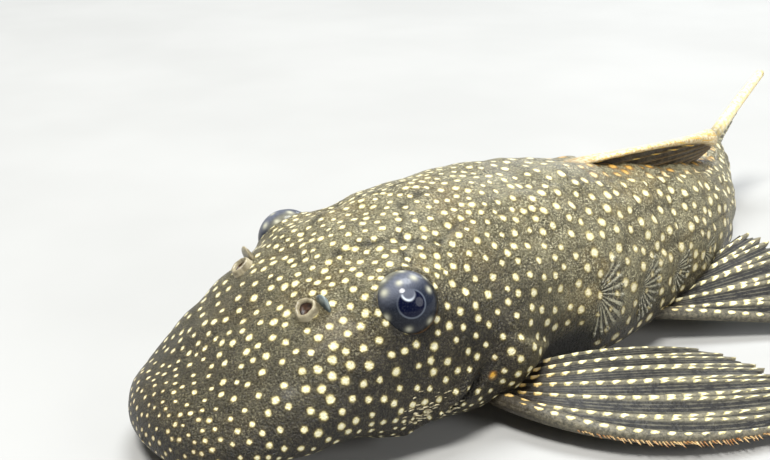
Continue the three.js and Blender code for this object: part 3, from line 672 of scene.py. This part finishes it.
# Colours by place: the belly, warmer dots, a lighter back and flank that is partly painted top light, and
# painted deep shade.
belly = ease(-FOLDED, 34, 60) * past(1, 5)
warm = (0.05 + 0.85 * past(42, 50) * above(62, 78) + 0.2 * (1 - past(0, 8))
        + 0.1 * past(34, 40) * (1 - above(15, 35)))
warm = np.maximum(warm, 1.4 * bell(STATIONS, 27.4, 0.7) * bell(FOLDED, 1, 4))
# The skin is lighter where it faces up, which is painted top light, and paler on the back and flank behind the
# head and along the lobe's rim.
around = skin_point(STATIONS, ANGLES + 0.02) - skin_point(STATIONS, ANGLES - 0.02)
along_body = skin_point(STATIONS + 0.1, ANGLES) - skin_point(STATIONS - 0.1, ANGLES)
upward = unit(np.cross(around, along_body))[..., 2]
top_light_and_pale_back = (ease(upward, 0.2, 0.98) * (0.18 + 0.82 * past(3, 24)) + 0.6 * lobe_rim
             + 1.05 * past(28, 42) * ease(upward, -0.4, 0.3) * (1 - 0.4 * ease(upward, 0.35, 0.9)))
# Painted shade: a dark wedge behind the shoulder's lobe, a hollow low on the cheek, and the lower snout.
shade_behind_lobe = np.exp(-((STATIONS - 37.8) / 3.2) ** 4) * (1 - above(-5, 7)) * (1 - lobe)
shade_low_cheek = 0.85 * bell(STATIONS, 22.6, 2.2) * bell(FOLDED, -18, 7)
shade_low_snout = 0.36 * (1 - past(10, 20)) * (1 - above(0, 40))
# No dots in the painted shade behind the lobe.
dot += NO_DOT * shade_behind_lobe
for shade in (shade_behind_lobe, shade_low_cheek, shade_low_snout):
    shade_and_seams = np.maximum(shade_and_seams, shade)

# Fans of fine ridges on the plates behind each pectoral fin: station, folded angle, number of
# ridges, spread in degrees, length.
COMBS = [(41.0, 15, 11, 136, 4.3), (47.6, 9, 11, 130, 4.2), (54.0, 7, 10, 120, 3.4), (59.2, 7, 8, 110, 2.8)]
COMB_HEADING_DEG = -30
comb_phase = np.zeros(STATIONS.shape)
comb = np.zeros(STATIONS.shape)
for station, folded_deg, ridges, spread_deg, length in COMBS:
    a = STATIONS - station
    b = (FOLDED - folded_deg) * MM_PER_DEGREE
    out = np.hypot(a, b)
    fan = np.mod(np.degrees(np.arctan2(b, a)) - COMB_HEADING_DEG + 180, 360) - 180
    inside = (ease(out, 0.5, 1.1) * (1 - ease(out, length - 1.2, length + 0.3))
              * (1 - ease(np.abs(fan), spread_deg / 2 - 8, spread_deg / 2 + 4)))
    comb_phase = np.where(inside > comb, math.tau * ridges * fan / spread_deg, comb_phase)
    comb = np.maximum(comb, inside)


def with_ends(values):
    flat = values.ravel()
    return np.concatenate([flat, [flat[0], flat[-1]]])


nose = flat_points[:SKIN_COLUMNS].mean(axis=0) - np.array([0.05, 0, 0])
rump = flat_points[-SKIN_COLUMNS:].mean(axis=0)
layers = {"dot": dot, "warm": np.clip(warm, 0, 1), "top_light_and_pale_back": np.clip(top_light_and_pale_back, 0, 1), "belly": belly,
          "shade_and_seams": shade_and_seams, "comb": comb, "comb_phase": comb_phase}
skin_points = np.vstack([flat_points, nose, rump])
add_mesh("skin_of_body", skin_points, capped_faces(SKIN_ROWS, SKIN_COLUMNS), SKIN,
         ("head", "trunk", "rear_trunk", "tail"), {key: with_ends(values) for key, values in layers.items()})

# Eyes: each a dome of rings round its pupil's axis.
EYE_SLATE = srgb(34, 39, 52)
# Painted sheen, which is also the pupil flap's grey.
EYE_SHEEN_AND_FLAP = srgb(106, 110, 122)
# Painted shade below and at the edge of the eye.
EYE_PAINTED_SHADE = srgb(8, 9, 13)
EYE_RUST = srgb(96, 68, 32)
EYE_BROW = srgb(122, 120, 104)
EYE_SPOT = srgb(206, 204, 180)
EYE_RING = srgb(150, 160, 176)
EYE_PUPIL = srgb(3, 8, 36)
EYE_GLINT = srgb(216, 224, 234)
# Pale spots on the eye: the direction, the angle from the pupil's axis and the size, in degrees.
EYE_SPOTS = [(30, 44, 6), (74, 50, 7), (112, 42, 5.5), (150, 52, 7.5), (204, 50, 6), (262, 46, 6),
             (316, 50, 6.5), (48, 70, 6), (92, 74, 7), (128, 72, 6), (176, 74, 7), (104, 92, 6.5),
             (126, 94, 6), (150, 78, 6), (150, 98, 6.5)]
EYE_RINGS = 84
EYE_SEGMENTS = 120
EYE_REACH_DEG = 118
PUPIL_AXIS = np.array([-0.33, 0.848, 0.415])
PUPIL_DEGREES = 22


def tinted(under, over, amount):
    amount = np.clip(amount, 0, 1)[..., None]
    return under * (1 - amount) + np.array(over) * amount


def eye_colors(polar, turn):
    """Colours by the angle from the pupil's axis and the direction round it, 90 degrees being up."""
    out = np.degrees(polar)
    x = out * np.cos(turn)
    y = out * np.sin(turn)
    color = np.ones(x.shape + (3,)) * np.array(EYE_SLATE)
    # Painted sheen above, painted shade below and at the edge, and a paler side towards the brow.
    color = tinted(color, EYE_SHEEN_AND_FLAP, 0.85 * ease(y - 0.5 * x, 4, 46) * (1 - ease(out, 52, 74)))
    color = tinted(color, EYE_PAINTED_SHADE, 0.6 * ease(-y - 0.6 * x, -4, 44))
    edge = (ease(out, 47, 62) * (1 - 0.7 * ease(y - x, 10, 60))
            * (1 - 0.85 * ease(y, 20, 55)))
    color = tinted(color, EYE_PAINTED_SHADE, edge)
    # More painted sheen on the upper side.
    color = tinted(color, EYE_SHEEN_AND_FLAP, 0.5 * ease(y, 45, 70))
    color = tinted(color, EYE_BROW, 0.85 * ease(0.8 * y - 0.6 * x, 52, 74))
    color = tinted(color, EYE_RUST, 0.8 * bell(out, 64, 4) * ease(-y + 0.2 * x, 0, 50))
    streaks = 0.5 + 0.5 * np.sin(turn * 37 + 3 * np.sin(turn * 5)) * np.sin(out * 0.35)
    color = color * (0.82 + 0.3 * streaks)[..., None]
    for direction, spot_out, size in EYE_SPOTS:
        a = math.radians(direction)
        off = np.hypot(x - spot_out * math.cos(a), y - spot_out * math.sin(a))
        color = tinted(color, EYE_SPOT, 0.8 * bell(off, 0, size))
    ring = bell(out, PUPIL_DEGREES + 1.6, 1.1) * (0.35 + 0.65 * ease(x - y, -30, 10))
    color = tinted(color, EYE_RING, 0.42 * ring)
    # The pupil, with a pale flap over its upper half and a bright line round the flap, the line a painted
    # glint.
    flap = np.hypot((x + 3.5) / 11.5, (y - 18) / 12.5)
    inside = tinted(np.ones(color.shape) * np.array(EYE_PUPIL), EYE_SHEEN_AND_FLAP, 0.7 * (1 - ease(flap, 0.9, 1.02)))
    line = bell(flap, 0.96, 0.14) * ease(-y + 24, 0, 14)
    inside = tinted(inside, EYE_GLINT, line * (0.2 + 0.75 * ease(-x - 0.4 * y, -13, 2)))
    in_pupil = (1 - ease(out, PUPIL_DEGREES - 0.9, PUPIL_DEGREES + 0.9))[..., None]
    return color * (1 - in_pupil) + inside * in_pupil


def add_eye(side, word):
    centre = place(EYE.station, side * EYE.side, EYE.height)
    axis = unit(PUPIL_AXIS * np.array([1, side, 1]))
    up = unit(np.array([0, 0, 1]) - axis * axis[2])
    right = np.cross(up, axis)
    turn, polar = np.meshgrid(circle(EYE_SEGMENTS), np.linspace(0.004, math.radians(EYE_REACH_DEG), EYE_RINGS))
    radius = EYE.radius - 0.04 + 0.03 * np.cos(polar * 2.2)
    out = radius * np.sin(polar)
    dome = from_axes(centre, (axis, right, up), radius * np.cos(polar), out * np.cos(turn), out * np.sin(turn))
    # The right eye's colours mirror the left one's.
    colors = eye_colors(polar, turn if side < 0 else math.pi - turn)
    front = centre + axis * radius[0, 0]
    back = centre + axis * radius[-1, 0] * math.cos(polar[-1, 0])
    cloud = np.vstack([dome.reshape(-1, 3), front, back])
    colors = np.vstack([colors.reshape(-1, 3), colors[0, 0], colors[-1, 0]])
    add_mesh(f"eyeball_{word}", cloud, capped_faces(EYE_RINGS, EYE_SEGMENTS), EYE_WET, (f"eye_{word}",),
             {"eye_color": colors})


for side, word in SIDES:
    add_eye(side, word)

# Small hooked cones, as for odontodes, in one mesh.
SPIKE_SIDES = 6
SPIKE_LEVELS = 4
SPIKE_TAPER = 0.8
SPIKE_HOOK = 0.22


def add_spikes(name, spikes, material):
    """Each spike is a root, a direction, the direction of its hook, a length and a radius."""
    cloud = []
    faces = []
    a = circle(SPIKE_SIDES)
    t = np.arange(SPIKE_LEVELS)[:, None] / SPIKE_LEVELS
    for root, direction, hook, length, radius in spikes:
        z = unit(direction)
        x = unit(hook - z * np.dot(hook, z))
        r = radius * (1 - SPIKE_TAPER * t)
        bend = length * SPIKE_HOOK * t * t
        rings = from_axes(root, (x, np.cross(z, x), z), bend + r * np.cos(a), r * np.sin(a), length * t)
        base = len(cloud)
        tip = base + SPIKE_LEVELS * SPIKE_SIDES
        cloud += [*rings.reshape(-1, 3), root + (z + x * SPIKE_HOOK) * length]
        faces += list(grid_faces(SPIKE_LEVELS, SPIKE_SIDES, closed=True, offset=base))
        faces += [[tip - SPIKE_SIDES + j, tip - SPIKE_SIDES + (j + 1) % SPIKE_SIDES, tip]
                  for j in range(SPIKE_SIDES)]
        faces.append([base + j for j in reversed(range(SPIKE_SIDES))])
    add_mesh(name, cloud, faces, material)


def side_angle(side, folded_deg):
    return math.radians(folded_deg if side > 0 else 180 - folded_deg)


# Combs of odontodes along the fans' ridges.
COMB_SPIKE_STEP = 0.62
COMB_SPIKE_LENGTH = 0.6


def add_combs(side, name):
    spikes = []
    for station, folded_deg, count, spread_deg, length in COMBS:
        for i in range(count):
            fan = math.radians(COMB_HEADING_DEG + spread_deg * (i - count // 2 + 0.25) / count)
            for out in np.arange(1.1, length - 0.4, COMB_SPIKE_STEP):
                reach = out + RNG.uniform(-0.08, 0.08)
                angle = side_angle(side, folded_deg + reach * math.sin(fan) / MM_PER_DEGREE)
                at, along, round_body, normal = skin_axes(station + reach * math.cos(fan), angle)
                direction = along * math.cos(fan) + round_body * side * math.sin(fan) + normal * 0.2
                spikes.append((at - normal * 0.05, direction, -normal, COMB_SPIKE_LENGTH, 0.06 + 0.035 * out))
    add_spikes(name, spikes, COMB)


# The tuft of small hooked odontodes low on each cheek.
TUFT = Sizes(count=110, station=21.3, spread=1.6, folded_deg=-11, spread_deg=6, lean_deg=1.2)


def add_cheek_odontodes(side, name):
    spikes = []
    for _ in range(TUFT.count):
        station = RNG.normal(TUFT.station, TUFT.spread)
        folded_deg = RNG.normal(TUFT.folded_deg, TUFT.spread_deg)
        folded_deg -= TUFT.lean_deg * (station - TUFT.station)
        at, along, round_body, normal = skin_axes(station, side_angle(side, folded_deg))
        direction = along * RNG.uniform(0.5, 1.1) + normal * RNG.uniform(0.3, 0.7)
        direction = direction + round_body * RNG.uniform(-0.4, 0.4)
        spikes.append((at - normal * 0.1, direction, along, RNG.uniform(0.3, 0.6), RNG.uniform(0.075, 0.125)))
    add_spikes(name, spikes, CHEEK_BRISTLE)


for side, word in SIDES:
    add_combs(side, f"plate_combs_{word}")
for side, word in SIDES:
    add_cheek_odontodes(side, f"cheek_odontodes_{word}")


# Fins: fine grids on the same surfaces as the solids, with rays that fork towards their tips. A surface
# takes the share u of the way from root to tip and the share v of the way from the spine to the last ray.
RAY_COLUMNS = 12
FIN_ROWS = 84
RAY_THICKNESS = (0.8, 0.45, 0.3)
FORK = 0.2
LINES_PER_RAY = 5
DASH_HALF_LENGTH = 0.42
DASH_HALF_WIDTH = 0.25
BARE = 3.0


def through(rows, v):
    a, b, c = (np.asarray(r, float) for r in rows)
    v = np.asarray(v, float)[..., None]
    return a * (1 - v) * (1 - 2 * v) + b * 4 * v * (1 - v) + c * v * (2 * v - 1)


def heading_vector(heading_deg, elevation_deg):
    h, e = math.radians(heading_deg), math.radians(elevation_deg)
    return np.array([math.cos(e) * math.cos(h), math.cos(e) * math.sin(h), math.sin(e)])


def mixed(a, b, t):
    return unit(a * (1 - t[..., None]) + b * t[..., None])


def sheet_faces(rows, columns):
    """Faces of a closed sheet: an upper grid, a lower one and the strip round their edge."""
    count = rows * columns
    grid = np.arange(count).reshape(rows, columns)
    edge = np.concatenate([grid[0, :-1], grid[:-1, -1], grid[-1, :0:-1], grid[:0:-1, 0]])
    strip = [[b, a, a + count, b + count] for a, b in zip(edge, np.roll(edge, -1))]
    return list(grid_faces(rows, columns)) + list(grid_faces(rows, columns, offset=count, flip=True)) + strip


def add_fin(name, node, surface, rays, lengths, material, thickness, spine_thickness, scallop=0.06, waves=0.0,
            seed=1, dash_pitch=1.5, dashed_rays=20, spine_dots=True):
    """A closed fin. lengths are the spine's, the middle ray's and the last one's, thickness holds the
    rays' at root and tip and the membrane's, and spine_thickness the spine's at root and tip."""
    local = np.random.default_rng(seed)
    columns = (rays - 1) * RAY_COLUMNS + 1
    v, u = np.meshgrid(np.linspace(0, 1, columns), np.linspace(0, 1, FIN_ROWS))
    ray_place = v * (rays - 1)
    ray_index = np.round(ray_place)
    fork = FORK * ease(u, 0.35, 1.0) * (ray_index > 0)
    distance = np.minimum(np.abs(ray_place - ray_index - fork), np.abs(ray_place - ray_index + fork))
    ridge = bell(distance, 0, 0.13 - 0.05 * u)
    ray_root, ray_tip, membrane = thickness
    thick = between(membrane, between(ray_root, ray_tip, u), ridge)
    ahead, behind = np.clip(v - 0.005, 0, 1), np.clip(v + 0.005, 0, 1)
    spacing = np.linalg.norm(surface(u, behind) - surface(u, ahead), axis=-1) / (behind - ahead) / (rays - 1)
    spine_size = between(*spine_thickness, u)
    inboard = ray_place * spacing / spine_size
    spine = 1 - ease(inboard, 0.85, 1.05)
    spine_round = np.sqrt(np.clip(1 - (np.abs(inboard - 0.5) / 0.52) ** 2, 0.06, 1))
    thick = np.maximum(thick, spine * spine_round * spine_size)
    # The edge, cut back a little between the rays, and the waves of the membrane.
    trimmed = u * (1 - scallop * (1 - np.maximum(ridge, spine)) * u * (1 + 0.35 * np.sin(v * 91.0)))
    h = 0.01
    a, b = np.clip(trimmed, h, 1 - h), np.clip(v, h, 1 - h)
    normal = unit(np.cross(surface(a + h, b) - surface(a - h, b), surface(a, b + h) - surface(a, b - h)))
    lift = waves * u * np.sin(ray_place * math.pi / 2 + 5 * u) * (1 - spine)
    point = surface(trimmed, v) + normal * lift[..., None]
    half = normal * (thick / 2)[..., None]
    # Dots in rows along the rays and the spine.
    phase = local.uniform(0, dash_pitch, rays)[ray_index.astype(int)]
    size = np.interp(u, [0, 0.4, 1], [0.9, 1.0, 0.8])
    beat = np.mod(u * np.interp(v, [0, 0.5, 1], lengths) + phase, dash_pitch) - dash_pitch / 2
    across = np.where(ray_index == 0, np.abs(inboard - 0.5) * spine_size, distance * spacing)
    dot = np.hypot(beat / (DASH_HALF_LENGTH * size), across / (DASH_HALF_WIDTH * size))
    bare = (ray_index > dashed_rays) | ((ray_index == 0) & (not spine_dots))
    layers = {"ray": ridge * (1 - spine), "spine": spine, "dot": np.where(bare, BARE, dot),
              "margin": ease(trimmed, 0.93, 1.0), "line": math.tau * LINES_PER_RAY * ray_place,
              "root": 1 - ease(u, 0.06, 0.3)}
    cloud = np.vstack([(point + half).reshape(-1, 3), (point - half).reshape(-1, 3)])
    add_mesh(name, cloud, sheet_faces(FIN_ROWS, columns), material, (node,),
             {key: np.tile(values.ravel(), 2) for key, values in layers.items()})


PECTORAL = Sizes(rays=7,
                 roots=[[28.2, 10.6, 2.5], [30, 10.6, 3.2], [31.8, 10.2, 4.1]],
                 controls=[[32.1, 25.9, 1.5], [38, 19, 4.6], [40, 12.8, 5.6]],
                 tips=[[48.4, 28.4, 1.3], [54, 22.6, 1.7], [49.6, 14.8, 2.7]])
PECTORAL_ROWS = (PECTORAL.roots, PECTORAL.controls, PECTORAL.tips)
PECTORAL_SPIKES = 64


def pectoral_surface(side):
    turn = np.array([1, side, 1])
    shift = np.array([ORIGIN_STATION, 0, 0])

    def surface(u, v):
        root, control, tip = ((through(rows, v) - shift) * turn for rows in PECTORAL_ROWS)
        u = np.asarray(u, float)[..., None]
        return root * (1 - u) ** 2 + control * 2 * u * (1 - u) + tip * u * u

    return surface


def add_fin_odontodes(surface, name, seed):
    """A row of spikes along the outer part of a fin's spine."""
    local = np.random.default_rng(seed)
    spikes = []
    for i in range(PECTORAL_SPIKES):
        share = i / (PECTORAL_SPIKES - 1)
        u = 0.3 + 0.68 * share + local.uniform(-0.004, 0.004)
        at = surface(u, 0.0)
        along = unit(at - surface(u - 0.02, 0.0))
        inward = unit(surface(u, 0.08) - at)
        direction = along * 0.6 - inward + np.array([0, 0, 1]) * local.uniform(-0.35, 0.5)
        length = (0.45 + 0.4 * math.sin(math.pi * (0.1 + 0.8 * share))) * local.uniform(0.8, 1.15)
        spikes.append((at + inward * 0.15, direction, along, length, 0.11))
    add_spikes(name, spikes, BRISTLE)


for side, word in SIDES:
    pectoral = pectoral_surface(side)
    add_fin(f"pectoral_{word}", f"pectoral_fin_{word}", pectoral, PECTORAL.rays, [29, 27, 19], FIN_DARK,
            RAY_THICKNESS, (1.5, 0.85), waves=0.12, seed=3 + side)
    add_fin_odontodes(pectoral, f"pectoral_odontodes_{word}", 21 + side)

PELVIC = Sizes(station=50, side=6.4, height=3.2, root_width=3.6, rays=6, spine=22, last=16,
               spine_heading=30, last_heading=-4, spine_drop=-5.5, last_drop=9, lift=1.4)


def pelvic_surface(side):
    p = PELVIC
    lead = heading_vector(side * p.spine_heading, p.spine_drop)
    last = heading_vector(side * p.last_heading, p.last_drop)

    def surface(u, v):
        root = place(p.station + p.root_width * v, side * (p.side - 0.8 * v), p.height + 0.6 * v)
        length = between(p.spine, p.last, v ** 1.2)
        point = root + mixed(lead, last, v) * (length * u)[..., None]
        point[..., 2] += p.lift * np.sin(math.pi * v * 0.8) * u ** 1.4
        return point

    return surface


for side, word in SIDES:
    add_fin(f"pelvic_{word}", f"pelvic_fin_{word}", pelvic_surface(side), PELVIC.rays, [22, 19, 16], FIN_DARK,
            RAY_THICKNESS, (1.4, 0.7), waves=0.12, seed=7 + side)

DORSAL = Sizes(station=43.4, base=20.6, tip_station=70.5, tip_height=16.8, last_tip=70, rays=8,
               lean=1.5, arch=0.7)


def dorsal_surface(u, v):
    d = DORSAL
    root_station = d.station + d.base * v
    tip_station = between(d.tip_station, d.last_tip, v)
    tip_height = between(d.tip_height, float(top_at(d.last_tip)) + 0.9, v)
    height = between(top_at(root_station) - 1, tip_height, u) + d.arch * np.sin(math.pi * u) * (1 - v)
    side = -d.lean * np.sin(math.pi * (0.15 + 0.7 * v)) * u
    return place(between(root_station, tip_station, u), side, height)


add_fin("dorsal", "dorsal_fin", dorsal_surface, DORSAL.rays, [23, 14, 6], FIN_DORSAL, (0.8, 0.55, 0.3),
        (2.1, 1.5), scallop=0.04, seed=12, dash_pitch=2.4, dashed_rays=2)

ADIPOSE = Sizes(station=72.8, length=6, elevation_deg=15, web=6.6, rays=3)


def adipose_surface(u, v):
    a = ADIPOSE
    rise = math.radians(a.elevation_deg)
    root_station = a.station + a.web * v
    tip_station = a.station + a.length * math.cos(rise) + 0.9 * v
    tip_height = float(top_at(a.station)) + a.length * math.sin(rise)
    root_height = top_at(root_station) - 0.8
    end_height = between(tip_height, root_height + 1.5, v)
    return place(between(root_station, tip_station, u), 0, between(root_height, end_height, u))


add_fin("adipose", "adipose_fin", adipose_surface, ADIPOSE.rays, [6, 5, 3], FIN_DORSAL, (0.5, 0.4, 0.3),
        (1.2, 0.6), scallop=0.1, seed=15, dashed_rays=-1)

ANAL = Sizes(station=60.5, base=4, rays=5, length=9, last=6, first_deg=4, last_deg=-5)


def anal_surface(u, v):
    a = ANAL
    root_station = a.station + a.base * v
    length = between(a.length, a.last, v)
    slope = np.radians(between(a.first_deg, a.last_deg, v))
    height = bottom_at(root_station) + 0.1 - length * np.sin(slope) * u
    return place(root_station + length * np.cos(slope) * u, 0, height)


add_fin("anal", "anal_fin", anal_surface, ANAL.rays, [9, 7, 6], FIN_DARK, (0.7, 0.5, 0.3), (0.9, 0.6),
        scallop=0.08, seed=18)

CAUDAL = Sizes(rays=11, upper=20, middle=15.5, lower=24, upper_heading=21, lower_heading=44,
               upper_elevation=14, lower_elevation=-10, root_ahead=0.6, root_inset=0.9, lowest=0.6)


def caudal_surface(u, v):
    c = CAUDAL
    upper = heading_vector(c.upper_heading, c.upper_elevation)
    lower = heading_vector(c.lower_heading, c.lower_elevation)
    high = float(top_at(STANDARD_LENGTH)) - c.root_inset
    low = float(bottom_at(STANDARD_LENGTH)) + c.root_inset
    root = place(STANDARD_LENGTH - c.root_ahead, 0, between(high, low, v))
    edge = between(c.upper, c.lower, v)
    length = edge - (edge - c.middle) * np.sin(math.pi * v) ** 1.2
    point = root + mixed(upper, lower, v) * (length * u)[..., None]
    point[..., 2] = np.maximum(point[..., 2], c.lowest)
    return point


add_fin("caudal", "caudal_fin", caudal_surface, CAUDAL.rays, [CAUDAL.upper, CAUDAL.middle, CAUDAL.lower],
        FIN_CAUDAL, (0.8, 0.5, 0.3), (1.6, 1.15), scallop=0.07, waves=0.1, seed=23, dash_pitch=1.9,
        spine_dots=False)

# Nostrils: a raised ring with a pit in it, as profiles of radius and height, and an upright flap behind.
NOSTRIL_SEGMENTS = 40
NOSTRIL_OUTER = [(1.2, -0.25), (1.02, 0.1), (0.96, 0.42), (0.88, 0.58), (0.76, 0.6), (0.64, 0.45), (0.55, 0.0)]
NOSTRIL_INNER = [(0.57, 0.3), (0.5, 0.16), (0.32, 0.1), (0.02, 0.09)]
FLAP_ROWS = 14
FLAP_COLUMNS = 22
FLAP = Sizes(behind=1.4, inward=0.75, half_thickness=0.3, half_width=0.95, lean=0.16, curl=0.18)
FLAP_HALF_HEIGHT = {"left": 0.9, "right": 1.25}
# The left flap's darker colours are painted shade.
FLAP_MATERIAL = {"left": NOSTRIL_FLAP_SHADED, "right": NOSTRIL_SKIN}


def add_nostril(side, word):
    angle = angle_at_side(NOSTRIL.station, side * NOSTRIL.side)
    at, *axes = skin_axes(NOSTRIL.station, angle)
    a = circle(NOSTRIL_SEGMENTS)
    for profile, material, name in ((NOSTRIL_OUTER, NOSTRIL_SKIN, "nostril_rim"),
                                    (NOSTRIL_INNER, NOSTRIL_PIT, "nostril_pit")):
        radius, height = (np.array(values)[:, None] for values in zip(*profile))
        reach = radius * (1 + 0.06 * np.sin(3 * a) + 0.03 * np.sin(7 * a))
        up = height + 0.08 * np.cos(a) * (height > 0)
        cloud = from_axes(at, axes, reach * np.cos(a), reach * np.sin(a), up).reshape(-1, 3)
        faces = grid_faces(len(profile), NOSTRIL_SEGMENTS, closed=True, flip=True)
        add_mesh(f"{name}_{word}", cloud, faces, material)
    a, t = np.meshgrid(circle(FLAP_COLUMNS), math.pi * (np.arange(FLAP_ROWS) + 0.5) / FLAP_ROWS)
    y = FLAP.half_width * np.sin(t) * np.sin(a)
    x = FLAP.half_thickness * np.sin(t) * np.cos(a) + FLAP.behind + FLAP.lean * np.cos(t) - FLAP.curl * y * y
    z = FLAP_HALF_HEIGHT[word] * np.cos(t)
    cloud = from_axes(at, axes, x, y - FLAP.inward * side, z).reshape(-1, 3)
    last = (FLAP_ROWS - 1) * FLAP_COLUMNS
    faces = list(grid_faces(FLAP_ROWS, FLAP_COLUMNS, closed=True, flip=True))
    faces += [list(range(FLAP_COLUMNS)), list(reversed(range(last, last + FLAP_COLUMNS)))]
    add_mesh(f"nostril_flap_{word}", cloud, faces, FLAP_MATERIAL[word])


for side, word in SIDES:
    add_nostril(side, word)

# The sucking disc under the snout, with rings of warts and the mouth at its middle.
LIPS = Sizes(station=8.2, half_length=5.2, half_width=6.4, thickness=1.25, mouth_length=1, mouth_width=3)
LIP_SEGMENTS = 180
LIP_RINGS = 44
LIP_INSET = 0.06
WART_RISE = 0.07


def add_lips():
    across, turn = np.meshgrid(circle(LIP_RINGS), circle(LIP_SEGMENTS))
    half_l = (LIPS.half_length - LIPS.mouth_length) / 2 - LIP_INSET
    half_w = (LIPS.half_width - LIPS.mouth_width) / 2 - LIP_INSET
    mid_l = (LIPS.half_length + LIPS.mouth_length) / 2
    mid_w = (LIPS.half_width + LIPS.mouth_width) / 2
    square = np.sign(np.cos(across)) * np.abs(np.cos(across)) ** 0.6
    rise = np.sign(np.sin(across)) * np.abs(np.sin(across)) ** 0.7
    wart = WART_RISE * np.cos(across * 9 + 0.6 * np.sin(turn * 5)) * np.cos(turn * 34)
    x = (mid_l + half_l * square) * np.cos(turn)
    y = (mid_w + half_w * square) * np.sin(turn)
    z = LIPS.thickness / 2 + (LIPS.thickness / 2 - 0.09 + wart) * rise
    centre = place(LIPS.station, 0, 0)
    cloud = np.stack([centre[0] + x, centre[1] + y, z], axis=-1).reshape(-1, 3)
    here = np.arange(LIP_SEGMENTS * LIP_RINGS).reshape(LIP_SEGMENTS, LIP_RINGS)
    ahead = np.roll(here, -1, axis=0)
    faces = np.stack([here, ahead, np.roll(ahead, -1, axis=1), np.roll(here, -1, axis=1)], axis=-1)
    add_mesh("sucking_lips", cloud, faces.reshape(-1, 4), LIP_SKIN, ("lips",))


add_lips()

# Floor, light and camera, in metres but for the camera's place, which is in millimetres.
FLOOR_HALF_SIZE = 1.2
FLOOR_DROP = 0.00005
LIGHT_TARGET = (-0.01, 0, 0.008)
# Each light's name, place, width, power and colour.
LIGHTS = [
    ("key", (-0.3, -0.19, 0.95), 0.3, 12.4, (1.0, 0.985, 0.95)),
    ("top", (0.23, 0.23, 0.95), 0.5, 9.8, (0.95, 0.98, 1.0)),
    ("fill", (0.38, -0.95, 0.42), 0.57, 4.2, (0.97, 0.98, 1.0)),
    ("rim", (0.7, 0.55, 0.3), 0.35, 1.6, (0.9, 0.95, 1.0)),
]
CAMERA = Sizes(position=(-67.347, -82.799, 53.352), yaw=0.597, pitch=0.3568, roll=-0.0165, lens=55.715,
               sensor=36, nearest=0.005)
WORLD_COLOR = (0.86, 0.89, 0.93, 1)
WORLD_STRENGTH = 0.14


def add_stage():
    corners = [(x * FLOOR_HALF_SIZE, y * FLOOR_HALF_SIZE, 0) for x, y in ((-1, -1), (1, -1), (1, 1), (-1, 1))]
    mesh = bpy.data.meshes.new("floor")
    mesh.from_pydata(corners, [], [(0, 1, 2, 3)])
    nodes = Nodes("floor_pale")
    shade = nodes.mix(nodes.ramp(nodes.noise(0.02, 3.0), 0.3, 0.7), FLOOR_SHADE, FLOOR_PALE)
    mesh.materials.append(nodes.finish(shade, 0.75))
    floor = add_object("floor", mesh)
    floor.location.z = -FLOOR_DROP


def add_area_light(name, location, size, power, color):
    data = bpy.data.lights.new(name, "AREA")
    data.shape = "DISK"
    data.size = size
    data.energy = power
    data.color = color
    light = add_object(name, data)
    light.location = location
    z = unit(np.asarray(location, float) - np.asarray(LIGHT_TARGET, float))
    x = unit(np.cross(np.array([0, 0, 1.0]), z))
    light.rotation_euler = Matrix(np.stack([x, np.cross(z, x), z], axis=1).tolist()).to_euler()


def add_camera():
    data = bpy.data.cameras.new("camera")
    data.lens = CAMERA.lens
    data.sensor_width = CAMERA.sensor
    data.sensor_fit = "HORIZONTAL"
    data.clip_start = CAMERA.nearest
    camera = add_object("camera", data)
    camera.matrix_world = (Matrix.Translation([v * MM for v in CAMERA.position])
                           @ Matrix.Rotation(-CAMERA.yaw, 4, "Z")
                           @ Matrix.Rotation(math.pi / 2 - CAMERA.pitch, 4, "X")
                           @ Matrix.Rotation(CAMERA.roll, 4, "Z"))
    bpy.context.scene.camera = camera


def add_world():
    world = bpy.data.worlds.new("studio")
    world.use_nodes = True
    background = next(n for n in world.node_tree.nodes if n.type == "BACKGROUND")
    background.inputs["Color"].default_value = WORLD_COLOR
    background.inputs["Strength"].default_value = WORLD_STRENGTH
    bpy.context.scene.world = world
    bpy.context.scene.view_settings.view_transform = "Standard"


add_stage()
add_camera()
for light in LIGHTS:
    add_area_light(*light)
add_world()
